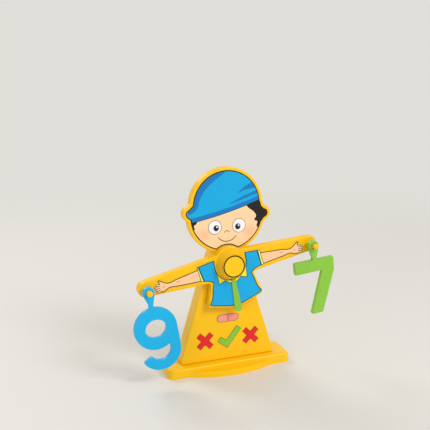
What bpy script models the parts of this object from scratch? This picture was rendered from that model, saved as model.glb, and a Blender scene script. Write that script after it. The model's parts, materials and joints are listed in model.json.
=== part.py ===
"""Number balance: a child's head on an A-shaped stand, and arms that tilt with a 9 and a 7 hung from them.

Metres, Z up, front towards -Y, origin on the floor under the middle of the foot. The stand, the beam and
the digits are drawn as flat outlines that face the front. In their frames X runs to the right, Y up and Z
to the front, so a height along Z there is a depth of the toy, counted from its middle plane.
"""

import math

import bmesh
import bpy
from mathutils import Matrix, Vector

# Clearances
GAP = 0.0003
WELD = 0.00001
PAST = 0.001
BITE = 0.0005

# Stand
PIVOT_HEIGHT = 0.178
STAND_DEPTH = 0.028
STAND_HALF_WIDTH = 0.078
STAND_BLOCK = 0.0087
STAND_TOP_RADIUS = 0.029
STAND_CORNER = 0.0015
STAND_EDGE = 0.0015
STAND_WALL = 0.0025
STAND_RIB_HEIGHT = 0.008
STAND_SCREW_INSET = 0.018
STAND_SCREW_RISE = 0.0202
STAND_TOP_SCREW_REACH = 0.017
STAND_TOP_SCREW_DROP = 0.028
TENON_DEPTH = 0.008
TENON_SIDE_STEP = 0.004
TENON_FACE_STEP = 0.003

# Foot
FOOT_LENGTH = 0.207
FOOT_DEPTH = 0.056
FOOT_HEIGHT = 0.0155
FOOT_CORNER = 0.009
FOOT_EDGE = 0.003
FOOT_WALL = 0.0025
FOOT_RIB_STEP = 0.029
FOOT_RIB_RISE = 0.0008
FLANGE_HALF_WIDTH = 0.070
FLANGE_BULGE = 0.017
FLANGE_HEIGHT = 0.009
FLANGE_EDGE = 0.002
CENTRE_PAD_RADIUS = 0.008
RIB = 0.0015

# Pivot
PIN_RADIUS = 0.003
PIN_HEAD_RADIUS = 0.006
PIN_HEAD_THICKNESS = 0.0025
PIN_BOSS_RADIUS = 0.007
SPACER_RADIUS = 0.009
SPACER_THICKNESS = 0.0015
BUSH_RADIUS = 0.005
BUSH_FLANGE_RADIUS = 0.0075
BUSH_FLANGE_THICKNESS = 0.0015
HUB_RADIUS = 0.008
HUB_RISE = 0.003
CLIP_RADIUS = 0.0065
CLIP_THICKNESS = 0.001
GROOVE_DEPTH = 0.0005
PIN_END = 0.0018

# Head, above the pivot
HEAD_DEPTH = 0.012
HEAD_WALL = 0.002
HEAD_EDGE = 0.002
HEAD_RISE = 0.074
FACE_HALF_WIDTH = 0.064
FACE_HALF_HEIGHT = 0.060
CROWN_RISE = 0.090
CROWN_RADIUS = 0.060
EAR_RADIUS = 0.012
LEFT_EAR_REACH = 0.0595
LEFT_EAR_RISE = 0.0805
RIGHT_EAR_REACH = 0.0617
RIGHT_EAR_RISE = 0.0738
EAR_SPREAD = 13
EAR_STEP = 2.5
HEAD_STEP = 5
HEAD_RIB_HEIGHT = 0.004
HEAD_SCREW_REACH = 0.038
HEAD_SCREW_RISE = 0.100
CHIN_SCREW_RISE = 0.044

# Tilt and its stop
TILT = 9.5
STOP_REACH = 0.019
STOP_RADIUS = 0.0025
STOP_LENGTH = 0.0056

# Beam
BEAM_DEPTH = 0.012
BEAM_WALL = 0.002
BEAM_EDGE = 0.002
BEAM_RIB_HEIGHT = 0.005
ARM_REACH = 0.138
HAND_DROP = 0.003
HAND_RADIUS = 0.0125
SHOULDER_REACH = 0.026
SHOULDER_RISE = 0.0185
ARMPIT_REACH = 0.0355
ARMPIT_DROP = 0.0225
ARMPIT_RADIUS = 0.004
HEM_HALF_WIDTH = 0.0475
HEM_DROP = 0.072
HEM_SLOPE = 16
HEM_RADIUS = 0.060
HEM_CORNER = 0.005
NECK_RADIUS = 0.0275
NECK_CORNER = 0.002

# Boss and cap
BOSS_RADIUS = 0.0238
BOSS_TOP_RADIUS = 0.020
BOSS_HEIGHT = 0.013
BOSS_CORE_STOP = 0.0041
CUP_RADIUS = 0.0155
CUP_FLOOR = 0.001
CAP_RADIUS = 0.0186
CAP_THICKNESS = 0.003
CAP_SKIRT = 0.006
CAP_SKIRT_WALL = 0.002
CAP_EDGE = 0.0005
CAP_RIM = 0.0007

# Printed sheets and marks
PRINT_THICKNESS = 0.0005
PRINT_RECESS = 0.0006
PRINT_INSET = 0.005
PRINT_BOSS_MARGIN = 0.0015
SHIRT_HEM_INSET = 0.0028
WAIST_REACH = 0.0390
WAIST_DROP = 0.0510
PRINT_PIT_REACH = 0.0335
PRINT_PIT_DROP = 0.0215
CUFF_REACH = 0.0550
CUFF_DROP = 0.0185
CUFF_RISE = 0.0100
SLEEVE_RISE = 0.0150
FOREARM_DROP = 0.0155
FOREARM_RISE = 0.0060
WRIST_REACH = 0.102
WRIST_DROP = 0.0108
WRIST_RISE = -0.0006
PALM_REACH = 0.1150
PALM_DROP = 0.0045
PALM_RADIUS = 0.0105
MARK_THICKNESS = 0.0004
BAND_WIDTH = 0.037
BAND_HEIGHT = 0.0125
BAND_MARGIN = 0.007
CROSS_SIZE = 0.0308
CROSS_BAR = 0.0090
CROSS_REACH = 0.0390
CROSS_DROP = 0.0345
TICK_BAR = 0.0095
TICK_SHORT = 0.016
TICK_LONG = 0.034
TICK_LEAN = 52
TICK_LEFT = 0.0022
TICK_DROP = 0.0445

# Pointer
POINTER_TOP_MARGIN = 0.001
POINTER_OVERHANG = 0.0074
POINTER_TOP_WIDTH = 0.0065
POINTER_END_WIDTH = 0.012
POINTER_BLUNTNESS = 0.0012
POINTER_CORNER = 0.0025
POINTER_THICKNESS = 0.0015
STUD_RADIUS = 0.0016
STUD_DROP = 0.004
STUD_STEP = 0.005
STUD_LENGTH = 0.0035

# Pegs
PEG_RADIUS = 0.00325
PEG_LENGTH = 0.022
PEG_HEAD_RADIUS = 0.0044
PEG_HEAD_THICKNESS = 0.003
PEG_ROOT_RADIUS = 0.006
ROOT_WALL = 0.002

# Screws
SCREW_HEAD_RADIUS = 0.0028
SCREW_HEAD_THICKNESS = 0.0018
SCREW_RADIUS = 0.0014
SCREW_LENGTH = 0.009
SCREW_SINK = 0.0002
SEAT_FLOOR = 0.0022
SEAT_WALL = 0.0013
SCREW_BOSS_WALL = 0.0025
ARM_SCREW_REACH = 0.088
BODY_SCREW_REACH = 0.027
BODY_SCREW_DROP = 0.048

# Digits
DIGIT_THICKNESS = 0.007
DIGIT_CLEARANCE = 0.008
DIGIT_EDGE = 0.0012
DIGIT_WALL = 0.0025
RING_RADIUS = 0.009
RING_BORE = 0.005
STEM_WIDTH = 0.0072
NINE_LEAN = 9.5
NINE_BOWL_DROP = 0.0578
NINE_BOWL_RADIUS = 0.0335
NINE_HOLE_HALF_WIDTH = 0.0164
NINE_HOLE_HALF_HEIGHT = 0.0146
NINE_TAIL_DROP = 0.0928
NINE_TAIL_RADIUS = 0.0325
NINE_STROKE = 0.016
NINE_TAIL_END = -155
NINE_END_TRIM = 9
NINE_END_INNER = 0.0018
NINE_END_OUTER = 0.0030
NINE_POCKET = 0.00384
SEVEN_LEAN = 5.8
SEVEN_LEFT = 0.036
SEVEN_RIGHT = 0.0336
SEVEN_TOP_DROP = 0.0227
SEVEN_BAR = 0.0198
SEVEN_SHOULDER_DROP = 0.0449
SEVEN_INNER = 0.0118
SEVEN_FOOT_DROP = 0.1135
SEVEN_FOOT_LEFT = 0.0123
SEVEN_FOOT_RIGHT = 0.0082
SEVEN_CORNER = 0.002
SEVEN_POCKET = 0.0034

# Places that follow from the sizes above
STAND_BOTTOM = FOOT_HEIGHT + GAP
STAND_FRONT = STAND_DEPTH / 2
STAND_REAR = -STAND_DEPTH / 2
HEAD_REAR = STAND_FRONT - HEAD_DEPTH
HEAD_INNER = STAND_FRONT - HEAD_WALL
THROAT_RADIUS = STAND_TOP_RADIUS + BITE
BEAM_REAR = STAND_FRONT + GAP + SPACER_THICKNESS + GAP
BEAM_FACE = BEAM_REAR + BEAM_DEPTH
BEAM_INNER = BEAM_FACE - BEAM_WALL
PLATE_INNER = BEAM_REAR + BEAM_WALL
BOSS_TOP = BEAM_FACE + BOSS_HEIGHT
HUB_TOP = BEAM_FACE + CUP_FLOOR + HUB_RISE
BUSH_TOP = HUB_TOP + GAP + BUSH_FLANGE_THICKNESS
CAP_REAR = BOSS_TOP + GAP
CAP_FRONT = CAP_REAR + CAP_THICKNESS
PRINT_CUT_RADIUS = BOSS_RADIUS + PRINT_BOSS_MARGIN
BAND_MIDDLE = PIVOT_HEIGHT - HEM_DROP - POINTER_OVERHANG - BAND_MARGIN - BAND_HEIGHT / 2
TENON_HALF_WIDTH = STAND_HALF_WIDTH - TENON_SIDE_STEP
TENON_HALF_DEPTH = STAND_DEPTH / 2 - TENON_FACE_STEP
RING_DROP = RING_BORE - PEG_RADIUS - GAP
SCREW_BOSS_RADIUS = SCREW_RADIUS + GAP + SCREW_BOSS_WALL
SEAT_DEPTH = SCREW_SINK + SCREW_HEAD_THICKNESS + GAP
SEAT_RADIUS = SCREW_HEAD_RADIUS + 0.0005
PAD_RADIUS = SEAT_RADIUS + SEAT_WALL
PAD_HEIGHT = SEAT_DEPTH + SEAT_FLOOR

YELLOW = (1.0, 0.47, 0.006)
SKY_BLUE = (0.02, 0.38, 0.80)
LEAF_GREEN = (0.25, 0.56, 0.05)
SIGNAL_RED = (0.75, 0.02, 0.025)
PINK = (0.86, 0.36, 0.36)
SKIN = (1.0, 0.69, 0.39)
SHIRT_BLUE = (0.015, 0.33, 0.72)
STEEL = (0.55, 0.55, 0.56)
ZINC = (0.40, 0.40, 0.42)
WHITE = (0.85, 0.85, 0.82)
PAPER = (0.93, 0.93, 0.90)


def clear_scene():
    for item in list(bpy.data.objects):
        bpy.data.objects.remove(item, do_unlink=True)


def new_collection(name):
    collection = bpy.data.collections.new(name)
    bpy.context.scene.collection.children.link(collection)
    return collection


clear_scene()
PART = new_collection("number_balance")
TOOLS = new_collection("cutters")


def new_frame(name, parent, location, angles):
    """An empty that carries a group of pieces, turned by angles in degrees."""
    frame = bpy.data.objects.new(name, None)
    PART.objects.link(frame)
    frame.parent = parent
    frame.location = location
    frame.rotation_euler = [math.radians(angle) for angle in angles]
    return frame


# Flat outlines: lists of points, counterclockwise

def arc(centre, radius, start, end, steps):
    """Points on a circle from one angle to another, in degrees."""
    points = []
    for step in range(steps + 1):
        angle = math.radians(start + (end - start) * step / steps)
        points.append((centre[0] + radius * math.cos(angle), centre[1] + radius * math.sin(angle)))
    return points


def ellipse(centre, half_width, half_height, steps):
    points = arc((0, 0), 1, 0, 360, steps)[:-1]
    return [(centre[0] + half_width * x, centre[1] + half_height * y) for x, y in points]


def rectangle(half_width, half_height):
    return [
        (-half_width, -half_height),
        (half_width, -half_height),
        (half_width, half_height),
        (-half_width, half_height),
    ]


def fillet(before, corner, after, radius, steps=4):
    """The points that round a corner off, also a hollow one."""
    corner = Vector(corner)
    to_before = (Vector(before) - corner).normalized()
    to_after = (Vector(after) - corner).normalized()
    half = to_before.angle(to_after) / 2
    reach = radius / math.tan(half)
    centre = corner + (to_before + to_after).normalized() * radius / math.sin(half)
    first = corner + to_before * reach - centre
    last = corner + to_after * reach - centre
    start = math.degrees(math.atan2(first.y, first.x))
    turn = math.degrees(math.atan2(last.y, last.x)) - start
    turn = (turn + 180) % 360 - 180
    return arc(centre, radius, start, start + turn, steps)


def rounded(corners, radius, steps=4):
    points = []
    for index, corner in enumerate(corners):
        after = corners[(index + 1) % len(corners)]
        points += fillet(corners[index - 1], corner, after, radius, steps)
    return points


def mirrored(points):
    """The left half for a right half that runs from the bottom to the top."""
    return [(-x, y) for x, y in reversed(points)]


def turned(points, degrees):
    turn = Matrix.Rotation(math.radians(degrees), 2)
    return [tuple(turn @ Vector(point)) for point in points]


def touch(point, centre, radius, side):
    """Where a line from a point touches a circle, 1 for its left side seen from there and -1 for its right."""
    away = Vector(centre) - Vector(point)
    heading = math.atan2(away.y, away.x) + side * math.asin(radius / away.length)
    reach = math.sqrt(away.length ** 2 - radius ** 2)
    return (point[0] + reach * math.cos(heading), point[1] + reach * math.sin(heading))


def bearing(centre, point):
    """The direction from a centre to a point, in degrees."""
    return math.degrees(math.atan2(point[1] - centre[1], point[0] - centre[0]))


def meeting(first, second, distance):
    """Where two edges meet once both have moved outwards by a distance."""
    along = (first[1] - first[0]).normalized()
    onward = (second[1] - second[0]).normalized()
    start = first[1] + Vector((along.y, -along.x)) * distance
    end = second[0] + Vector((onward.y, -onward.x)) * distance
    bend = along.cross(onward)
    if abs(bend) < 0.001:
        return (start + end) / 2
    return start + along * (end - start).cross(onward) / bend


def offset(outline, distance):
    """The outline moved outwards, or inwards if the distance is negative, without the edges that vanish."""
    corners = [Vector(point) for point in outline]
    edges = list(zip(corners, corners[1:] + corners[:1]))
    while True:
        points = [meeting(edges[index - 1], edge, distance) for index, edge in enumerate(edges)]
        kept = []
        for edge, start, end in zip(edges, points, points[1:] + points[:1]):
            if (end - start).dot(edge[1] - edge[0]) > 0:
                kept.append(edge)
        if len(kept) == len(edges):
            return [tuple(point) for point in points]
        edges = kept


# Solids: each starts as a tool for cutting or joining, and becomes a piece when it is given a material

def place_tool(name, mesh, frame, location=(0, 0, 0)):
    tool = bpy.data.objects.new(name, mesh)
    TOOLS.objects.link(tool)
    tool.parent = frame
    tool.location = location
    tool.hide_render = True
    tool.display_type = "WIRE"
    return tool


def as_piece(tool, colour, roughness, metallic=0.0, smooth=False):
    """Shows a solid as a piece of the toy, in a material of its own."""
    TOOLS.objects.unlink(tool)
    PART.objects.link(tool)
    tool.hide_render = False
    tool.display_type = "TEXTURED"
    material = bpy.data.materials.new(tool.name)
    material.use_nodes = True
    shader = material.node_tree.nodes["Principled BSDF"]
    shader.inputs["Base Color"].default_value = (*colour, 1.0)
    shader.inputs["Roughness"].default_value = roughness
    shader.inputs["Metallic"].default_value = metallic
    tool.data.materials.append(material)
    if smooth:
        tool.data.shade_smooth()
        tool.data.set_sharp_from_angle(angle=math.radians(35))
    return tool


def slab(name, outline, rear, front, frame):
    """A flat outline made as thick as from rear to front, as one closed solid."""
    curve = bpy.data.curves.new(name, "CURVE")
    curve.dimensions = "2D"
    curve.fill_mode = "BOTH"
    curve.extrude = (front - rear) / 2
    curve.render_resolution_u = 0
    spline = curve.splines.new("POLY")
    spline.points.add(len(outline) - 1)
    for point, (x, y) in zip(spline.points, outline):
        point.co = (x, y, 0, 1)
    spline.use_cyclic_u = True
    drawn = bpy.data.objects.new(name, curve)
    bpy.context.scene.collection.objects.link(drawn)
    evaluated = drawn.evaluated_get(bpy.context.evaluated_depsgraph_get())
    mesh = bpy.data.meshes.new_from_object(evaluated)
    bpy.data.objects.remove(drawn)
    bpy.data.curves.remove(curve)
    solid = bmesh.new()
    solid.from_mesh(mesh)
    bmesh.ops.remove_doubles(solid, verts=solid.verts, dist=WELD)
    bmesh.ops.dissolve_limit(solid, angle_limit=math.radians(0.1), verts=solid.verts, edges=solid.edges)
    bmesh.ops.recalc_face_normals(solid, faces=solid.faces)
    solid.to_mesh(mesh)
    solid.free()
    return place_tool(name, mesh, frame, (0, 0, (rear + front) / 2))


def round_rim(solid, width, segments):
    """Rounds the front edge of a slab, or the top edge where it lies flat."""
    mesh = solid.data
    weights = mesh.attributes.new("bevel_weight_edge", "FLOAT", "EDGE")
    top = max(vertex.co.z for vertex in mesh.vertices)
    for edge in mesh.edges:
        heights = [mesh.vertices[index].co.z for index in edge.vertices]
        weights.data[edge.index].value = float(min(heights) > top - WELD)
    bevel = solid.modifiers.new("rounded rim", "BEVEL")
    bevel.limit_method = "WEIGHT"
    bevel.width = width
    bevel.segments = segments


def rods(name, places, radius, rear, front, frame, steps=12):
    """A cylinder at each place of a list."""
    solid = bmesh.new()
    for x, y in places:
        middle = Matrix.Translation((x, y, (rear + front) / 2))
        bmesh.ops.create_cone(
            solid, cap_ends=True, segments=steps, radius1=radius, radius2=radius,
            depth=front - rear, matrix=middle)
    mesh = bpy.data.meshes.new(name)
    solid.to_mesh(mesh)
    solid.free()
    return place_tool(name, mesh, frame)


def bars(name, runs, thickness, rear, front, frame):
    """A straight upright wall along each run from one point to another."""
    solid = bmesh.new()
    for start, end in runs:
        along = Vector(end) - Vector(start)
        middle = (Vector(start) + Vector(end)) / 2
        shift = Matrix.Translation((middle.x, middle.y, (rear + front) / 2))
        turn = Matrix.Rotation(math.atan2(along.y, along.x), 4, "Z")
        stretch = Matrix.Diagonal((along.length, thickness, front - rear, 1))
        bmesh.ops.create_cube(solid, size=1, matrix=shift @ turn @ stretch)
    mesh = bpy.data.meshes.new(name)
    solid.to_mesh(mesh)
    solid.free()
    return place_tool(name, mesh, frame)


def lathe(name, profile, frame, steps=40, closed=False):
    """A profile of radius and height points turned round, drawn down its outer side."""
    mesh = bpy.data.meshes.new(name)
    edges = [(index, index + 1) for index in range(len(profile) - 1)]
    if closed:
        edges.append((len(profile) - 1, 0))
    mesh.from_pydata([(radius, 0, height) for radius, height in profile], edges, [])
    solid = place_tool(name, mesh, frame)
    screw = solid.modifiers.new("turned", "SCREW")
    screw.steps = steps
    screw.render_steps = steps
    screw.use_merge_vertices = True
    screw.merge_threshold = WELD
    weld = solid.modifiers.new("closed", "WELD")
    weld.merge_threshold = WELD
    return solid


def tube(name, radius, bore, rear, front, frame, steps=32):
    """A ring or washer with a round bore."""
    profile = [(radius, front), (radius, rear), (bore, rear), (bore, front)]
    return lathe(name, profile, frame, steps, closed=True)


def join(solid, *others):
    combine(solid, "UNION", others)


def cut(solid, *others):
    combine(solid, "DIFFERENCE", others)


def combine(solid, operation, others):
    for other in others:
        modifier = solid.modifiers.new(other.name, "BOOLEAN")
        modifier.operation = operation
        modifier.solver = "EXACT"
        modifier.object = other


# Foot

def flange_plan():
    """Two flat arcs that bulge to the front and to the back of the foot."""
    radius = (FLANGE_HALF_WIDTH ** 2 + FLANGE_BULGE ** 2) / (2 * FLANGE_BULGE)
    spread = math.degrees(math.asin(FLANGE_HALF_WIDTH / radius))
    depth = FOOT_DEPTH / 2 + FLANGE_BULGE
    front = arc((0, radius - depth), radius, -90 - spread, -90 + spread, 12)
    return front + [(-x, -y) for x, y in front]


def make_foot():
    """A long low bar with a wider flange, open below, with ribs and a socket for the stand."""
    plan = rounded(rectangle(FOOT_LENGTH / 2, FOOT_DEPTH / 2), FOOT_CORNER)
    wide_plan = flange_plan()
    foot = slab("foot", plan, 0, FOOT_HEIGHT, None)
    round_rim(foot, FOOT_EDGE, 3)
    flange = slab("foot flange", wide_plan, 0, FLANGE_HEIGHT, None)
    round_rim(flange, FLANGE_EDGE, 2)
    join(foot, flange)

    ceiling = FOOT_HEIGHT - FOOT_WALL
    hollow = slab("foot hollow", offset(plan, -FOOT_WALL), -PAST, ceiling, None)
    wide_plan_inside = offset(wide_plan, -FOOT_WALL)
    low_hollow = slab("flange hollow", wide_plan_inside, -PAST, FLANGE_HEIGHT - FOOT_WALL, None)
    cut(foot, hollow, low_hollow)

    socket_floor = STAND_BOTTOM - TENON_DEPTH - GAP
    socket_width = TENON_HALF_WIDTH + GAP
    socket_depth = TENON_HALF_DEPTH + GAP
    box_plan = rectangle(socket_width + FOOT_WALL, socket_depth + FOOT_WALL)
    box = slab("socket box", box_plan, socket_floor - FOOT_WALL, ceiling + PAST, None)
    join(foot, box)

    inside_depth = FOOT_DEPTH / 2 - FOOT_WALL / 2
    rib_count = int((FOOT_LENGTH / 2 - FOOT_CORNER) / FOOT_RIB_STEP)
    cross_runs = []
    low_runs = []
    for index in range(-rib_count, rib_count + 1):
        x = index * FOOT_RIB_STEP
        cross_runs.append(((x, -inside_depth), (x, inside_depth)))
        if abs(x) < FLANGE_HALF_WIDTH - FOOT_WALL:
            reach = flange_reach(x) - FOOT_WALL / 2
            low_runs.append(((x, -reach), (x, reach)))
    cross_ribs = bars("foot ribs", cross_runs, RIB, FOOT_RIB_RISE, ceiling + BITE, None)
    low_top = FLANGE_HEIGHT - FOOT_WALL + BITE
    low_ribs = bars("flange ribs", low_runs, RIB + BITE, FOOT_RIB_RISE, low_top, None)
    middle_pad = rods("middle pad", [(0, 0)], CENTRE_PAD_RADIUS, 0, socket_floor - FOOT_WALL + BITE, None, 24)
    join(foot, cross_ribs, low_ribs, middle_pad)

    socket = slab("socket", rectangle(socket_width, socket_depth), socket_floor, FOOT_HEIGHT + PAST, None)
    cut(foot, socket)
    return as_piece(foot, YELLOW, 0.35)


def flange_reach(x):
    """How far the flange reaches to the front at a place along the foot."""
    radius = (FLANGE_HALF_WIDTH ** 2 + FLANGE_BULGE ** 2) / (2 * FLANGE_BULGE)
    return FOOT_DEPTH / 2 + FLANGE_BULGE - radius + math.sqrt(radius ** 2 - x ** 2)


# Stand

def stand_side():
    """The straight right side of the stand, from its block up to the round top."""
    low = (STAND_HALF_WIDTH, STAND_BOTTOM + STAND_BLOCK)
    return low, touch(low, (0, PIVOT_HEIGHT), STAND_TOP_RADIUS, -1)


def stand_half_width(y):
    (low_x, low_y), (high_x, high_y) = stand_side()
    return low_x + (high_x - low_x) * (y - low_y) / (high_y - low_y)


def stand_outline():
    low, high = stand_side()
    corner = (STAND_HALF_WIDTH, STAND_BOTTOM)
    right = fillet((0, STAND_BOTTOM), corner, low, STAND_CORNER) + [low]
    start = bearing((0, PIVOT_HEIGHT), high)
    top = arc((0, PIVOT_HEIGHT), STAND_TOP_RADIUS, start, 180 - start, 24)
    return right + top + mirrored(right)


def stand_screw_places():
    top = PIVOT_HEIGHT - STAND_TOP_SCREW_DROP
    bottom = STAND_BOTTOM + STAND_SCREW_RISE
    reach = STAND_HALF_WIDTH - STAND_SCREW_INSET
    return [
        (-STAND_TOP_SCREW_REACH, top),
        (STAND_TOP_SCREW_REACH, top),
        (-reach, bottom),
        (reach, bottom),
    ]


def reach_along(angle, centre, half_width, half_height):
    """How far a ray from the middle of the head runs to the far side of an ellipse, or 0 past it."""
    x, y = math.cos(angle) / half_width, math.sin(angle) / half_height
    u, v = centre[0] / half_width, (centre[1] - HEAD_RISE) / half_height
    across = x * u + y * v
    inside = across ** 2 - (x * x + y * y) * (u * u + v * v - 1)
    if inside < 0:
        return 0.0
    return (across + math.sqrt(inside)) / (x * x + y * y)


def head_directions():
    """Directions from the middle of the face, in degrees, closer together at the ears."""
    right = bearing((0, HEAD_RISE), (RIGHT_EAR_REACH, RIGHT_EAR_RISE))
    left = bearing((0, HEAD_RISE), (-LEFT_EAR_REACH, LEFT_EAR_RISE))
    directions = []
    direction = -90
    while direction < 270:
        directions.append(direction)
        near_ear = min(abs(direction - right), abs(direction - left)) < EAR_SPREAD
        direction += EAR_STEP if near_ear else HEAD_STEP
    return directions


def head_outline():
    """A round face, a fuller crown and two ears, seen as one outline above the pivot."""
    points = []
    for direction in head_directions():
        angle = math.radians(direction)
        reach = max(
            reach_along(angle, (0, HEAD_RISE), FACE_HALF_WIDTH, FACE_HALF_HEIGHT),
            reach_along(angle, (0, CROWN_RISE), CROWN_RADIUS, CROWN_RADIUS),
            reach_along(angle, (RIGHT_EAR_REACH, RIGHT_EAR_RISE), EAR_RADIUS, EAR_RADIUS),
            reach_along(angle, (-LEFT_EAR_REACH, LEFT_EAR_RISE), EAR_RADIUS, EAR_RADIUS),
        )
        points.append((reach * math.cos(angle), PIVOT_HEIGHT + HEAD_RISE + reach * math.sin(angle)))
    return points


def head_screw_places():
    return [
        (-HEAD_SCREW_REACH, PIVOT_HEIGHT + HEAD_SCREW_RISE),
        (HEAD_SCREW_REACH, PIVOT_HEIGHT + HEAD_SCREW_RISE),
        (0, PIVOT_HEIGHT + CHIN_SCREW_RISE),
    ]


def make_stand_front(frame):
    """The front shell of stand and head, with its tenon, the bosses, the ribs and the stop of the beam."""
    outline = stand_outline()
    shell = slab("stand_front", outline, STAND_REAR, STAND_FRONT, frame)
    round_rim(shell, STAND_EDGE, 2)
    inner = STAND_FRONT - STAND_WALL

    tenon_plan = [(x, y + STAND_BOTTOM) for x, y in rectangle(TENON_HALF_WIDTH, TENON_DEPTH)]
    tenon = slab("tenon", tenon_plan, -TENON_HALF_DEPTH, TENON_HALF_DEPTH, frame)
    trim_plan = [(x, y + STAND_BOTTOM + STAND_WALL / 2 + TENON_DEPTH) for x, y in
                 rectangle(STAND_HALF_WIDTH, TENON_DEPTH)]
    trim = slab("tenon trim", trim_plan, STAND_REAR, STAND_FRONT, frame)
    cut(tenon, trim)
    stop = rods("stop", [(0, PIVOT_HEIGHT - STOP_REACH)], STOP_RADIUS, inner, STAND_FRONT + STOP_LENGTH, frame)
    head = slab("head", head_outline(), HEAD_REAR, STAND_FRONT, frame)
    round_rim(head, HEAD_EDGE, 2)
    join(shell, tenon, stop, head)

    hollow = slab("stand hollow", offset(outline, -STAND_WALL), STAND_REAR - PAST, inner, frame)
    core_half_width = TENON_HALF_WIDTH - STAND_WALL
    core_half_depth = TENON_HALF_DEPTH - STAND_WALL
    core_bottom = STAND_BOTTOM - TENON_DEPTH + STAND_WALL
    core_top = STAND_BOTTOM + STAND_WALL + PAST
    core_plan = [
        (-core_half_width, core_bottom),
        (core_half_width, core_bottom),
        (core_half_width, core_top),
        (-core_half_width, core_top),
    ]
    core = slab("tenon core", core_plan, -core_half_depth, core_half_depth, frame)
    head_hollow = round_pivot(
        "head hollow", offset(head_outline(), -HEAD_WALL), HEAD_REAR - PAST, HEAD_INNER, THROAT_RADIUS, frame)
    recess = round_pivot(
        "head recess", offset(head_outline(), GAP - PRINT_INSET), STAND_FRONT - PRINT_RECESS, STAND_FRONT + PAST,
        NECK_RADIUS, frame)
    cut(shell, hollow, core, head_hollow, recess)

    cover_inner = STAND_REAR + STAND_WALL + GAP
    boss_rear = STAND_REAR + PAD_HEIGHT + GAP
    low_rib = STAND_BOTTOM + (PIVOT_HEIGHT - STAND_BOTTOM) / 3
    high_rib = STAND_BOTTOM + (PIVOT_HEIGHT - STAND_BOTTOM) * 3 / 5
    low_end = stand_half_width(low_rib) - STAND_WALL / 2
    high_end = stand_half_width(high_rib) - STAND_WALL / 2
    rib_rear = inner - STAND_RIB_HEIGHT
    cross_runs = [((-low_end, low_rib), (low_end, low_rib)), ((-high_end, high_rib), (high_end, high_rib))]
    cross_ribs = bars("stand cross ribs", cross_runs, RIB, rib_rear, inner + BITE, frame)
    spine_run = [((0, STAND_BOTTOM + STAND_WALL / 2), (0, PIVOT_HEIGHT))]
    spine = bars("stand spine", spine_run, RIB, rib_rear, inner + BITE + BITE / 2, frame)
    pin_boss = rods("pin boss", [(0, PIVOT_HEIGHT)], PIN_BOSS_RADIUS, cover_inner, inner + BITE, frame, 24)
    places = stand_screw_places()
    screw_bosses = rods("stand screw bosses", places, SCREW_BOSS_RADIUS, boss_rear, inner + BITE, frame)
    join(shell, cross_ribs, spine, pin_boss, screw_bosses)

    head_rib_rear = HEAD_INNER - HEAD_RIB_HEIGHT
    crown_top = PIVOT_HEIGHT + CROWN_RISE + CROWN_RADIUS - HEAD_WALL / 2
    crown_run = [((0, PIVOT_HEIGHT + STAND_TOP_RADIUS - STAND_WALL / 2), (0, crown_top))]
    crown_rib = bars("crown rib", crown_run, RIB, head_rib_rear, HEAD_INNER + BITE, frame)
    beyond = EAR_RADIUS - HEAD_WALL / 2
    left_end = (-LEFT_EAR_REACH - beyond, PIVOT_HEIGHT + LEFT_EAR_RISE)
    right_end = (RIGHT_EAR_REACH + beyond, PIVOT_HEIGHT + RIGHT_EAR_RISE)
    ear_run = [(left_end, right_end)]
    ear_rib = bars("ear rib", ear_run, RIB, head_rib_rear, HEAD_INNER + BITE * 2, frame)
    head_places = head_screw_places()
    head_boss_rear = HEAD_REAR + PAD_HEIGHT + GAP
    head_bosses = rods("head screw bosses", head_places, SCREW_BOSS_RADIUS, head_boss_rear, HEAD_INNER + BITE, frame)
    join(shell, crown_rib, ear_rib, head_bosses)

    bore = rods("stand bore", [(0, PIVOT_HEIGHT)], PIN_RADIUS + GAP, STAND_REAR, STAND_FRONT + PAST, frame, 24)
    pilot_length = SCREW_SINK + SCREW_LENGTH + GAP
    pilot_radius = SCREW_RADIUS + GAP
    pilots = rods("stand pilots", places, pilot_radius, STAND_REAR, STAND_REAR + pilot_length, frame, 8)
    head_pilots = rods("head pilots", head_places, pilot_radius, HEAD_REAR, HEAD_REAR + pilot_length, frame, 8)
    cut(shell, bore, pilots, head_pilots)
    return as_piece(shell, YELLOW, 0.35)


def round_pivot(name, outline, rear, front, radius, frame):
    """A slab of the head that ends in an arc round the pivot."""
    piece = slab(name, outline, rear, front, frame)
    cut(piece, rods(name + " arc", [(0, PIVOT_HEIGHT)], radius, rear - PAST, front + PAST, frame, 40))
    return piece


def add_screw_seats(plate, places, rear, frame):
    """Thickens a plate inside round each screw, and sinks a seat for its head from outside."""
    pads = rods(plate.name + " pads", places, PAD_RADIUS, rear + BITE, rear + PAD_HEIGHT, frame)
    seats = rods(plate.name + " seats", places, SEAT_RADIUS, rear - PAST, rear + SEAT_DEPTH, frame)
    holes = rods(plate.name + " holes", places, SCREW_RADIUS + GAP, rear - PAST, rear + PAD_HEIGHT + PAST, frame, 8)
    join(plate, pads)
    cut(plate, seats, holes)


def make_screws(name, places, rear, frame):
    """Pan-head screws, driven from behind."""
    head_rear = rear + SCREW_SINK
    neck = head_rear + SCREW_HEAD_THICKNESS
    edge = SCREW_HEAD_THICKNESS / 3
    end = head_rear + SCREW_LENGTH
    tip = end - SCREW_RADIUS
    for number, (x, y) in enumerate(places, start=1):
        profile = [
            (0, end),
            (SCREW_RADIUS, tip),
            (SCREW_RADIUS, neck),
            (SCREW_HEAD_RADIUS, neck),
            (SCREW_HEAD_RADIUS, head_rear + edge),
            (SCREW_HEAD_RADIUS - edge, head_rear),
            (0, head_rear),
        ]
        screw = lathe(f"{name}_{number}", profile, frame, 10)
        screw.location = (x, y, 0)
        as_piece(screw, ZINC, 0.3, 1.0, smooth=True)


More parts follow.
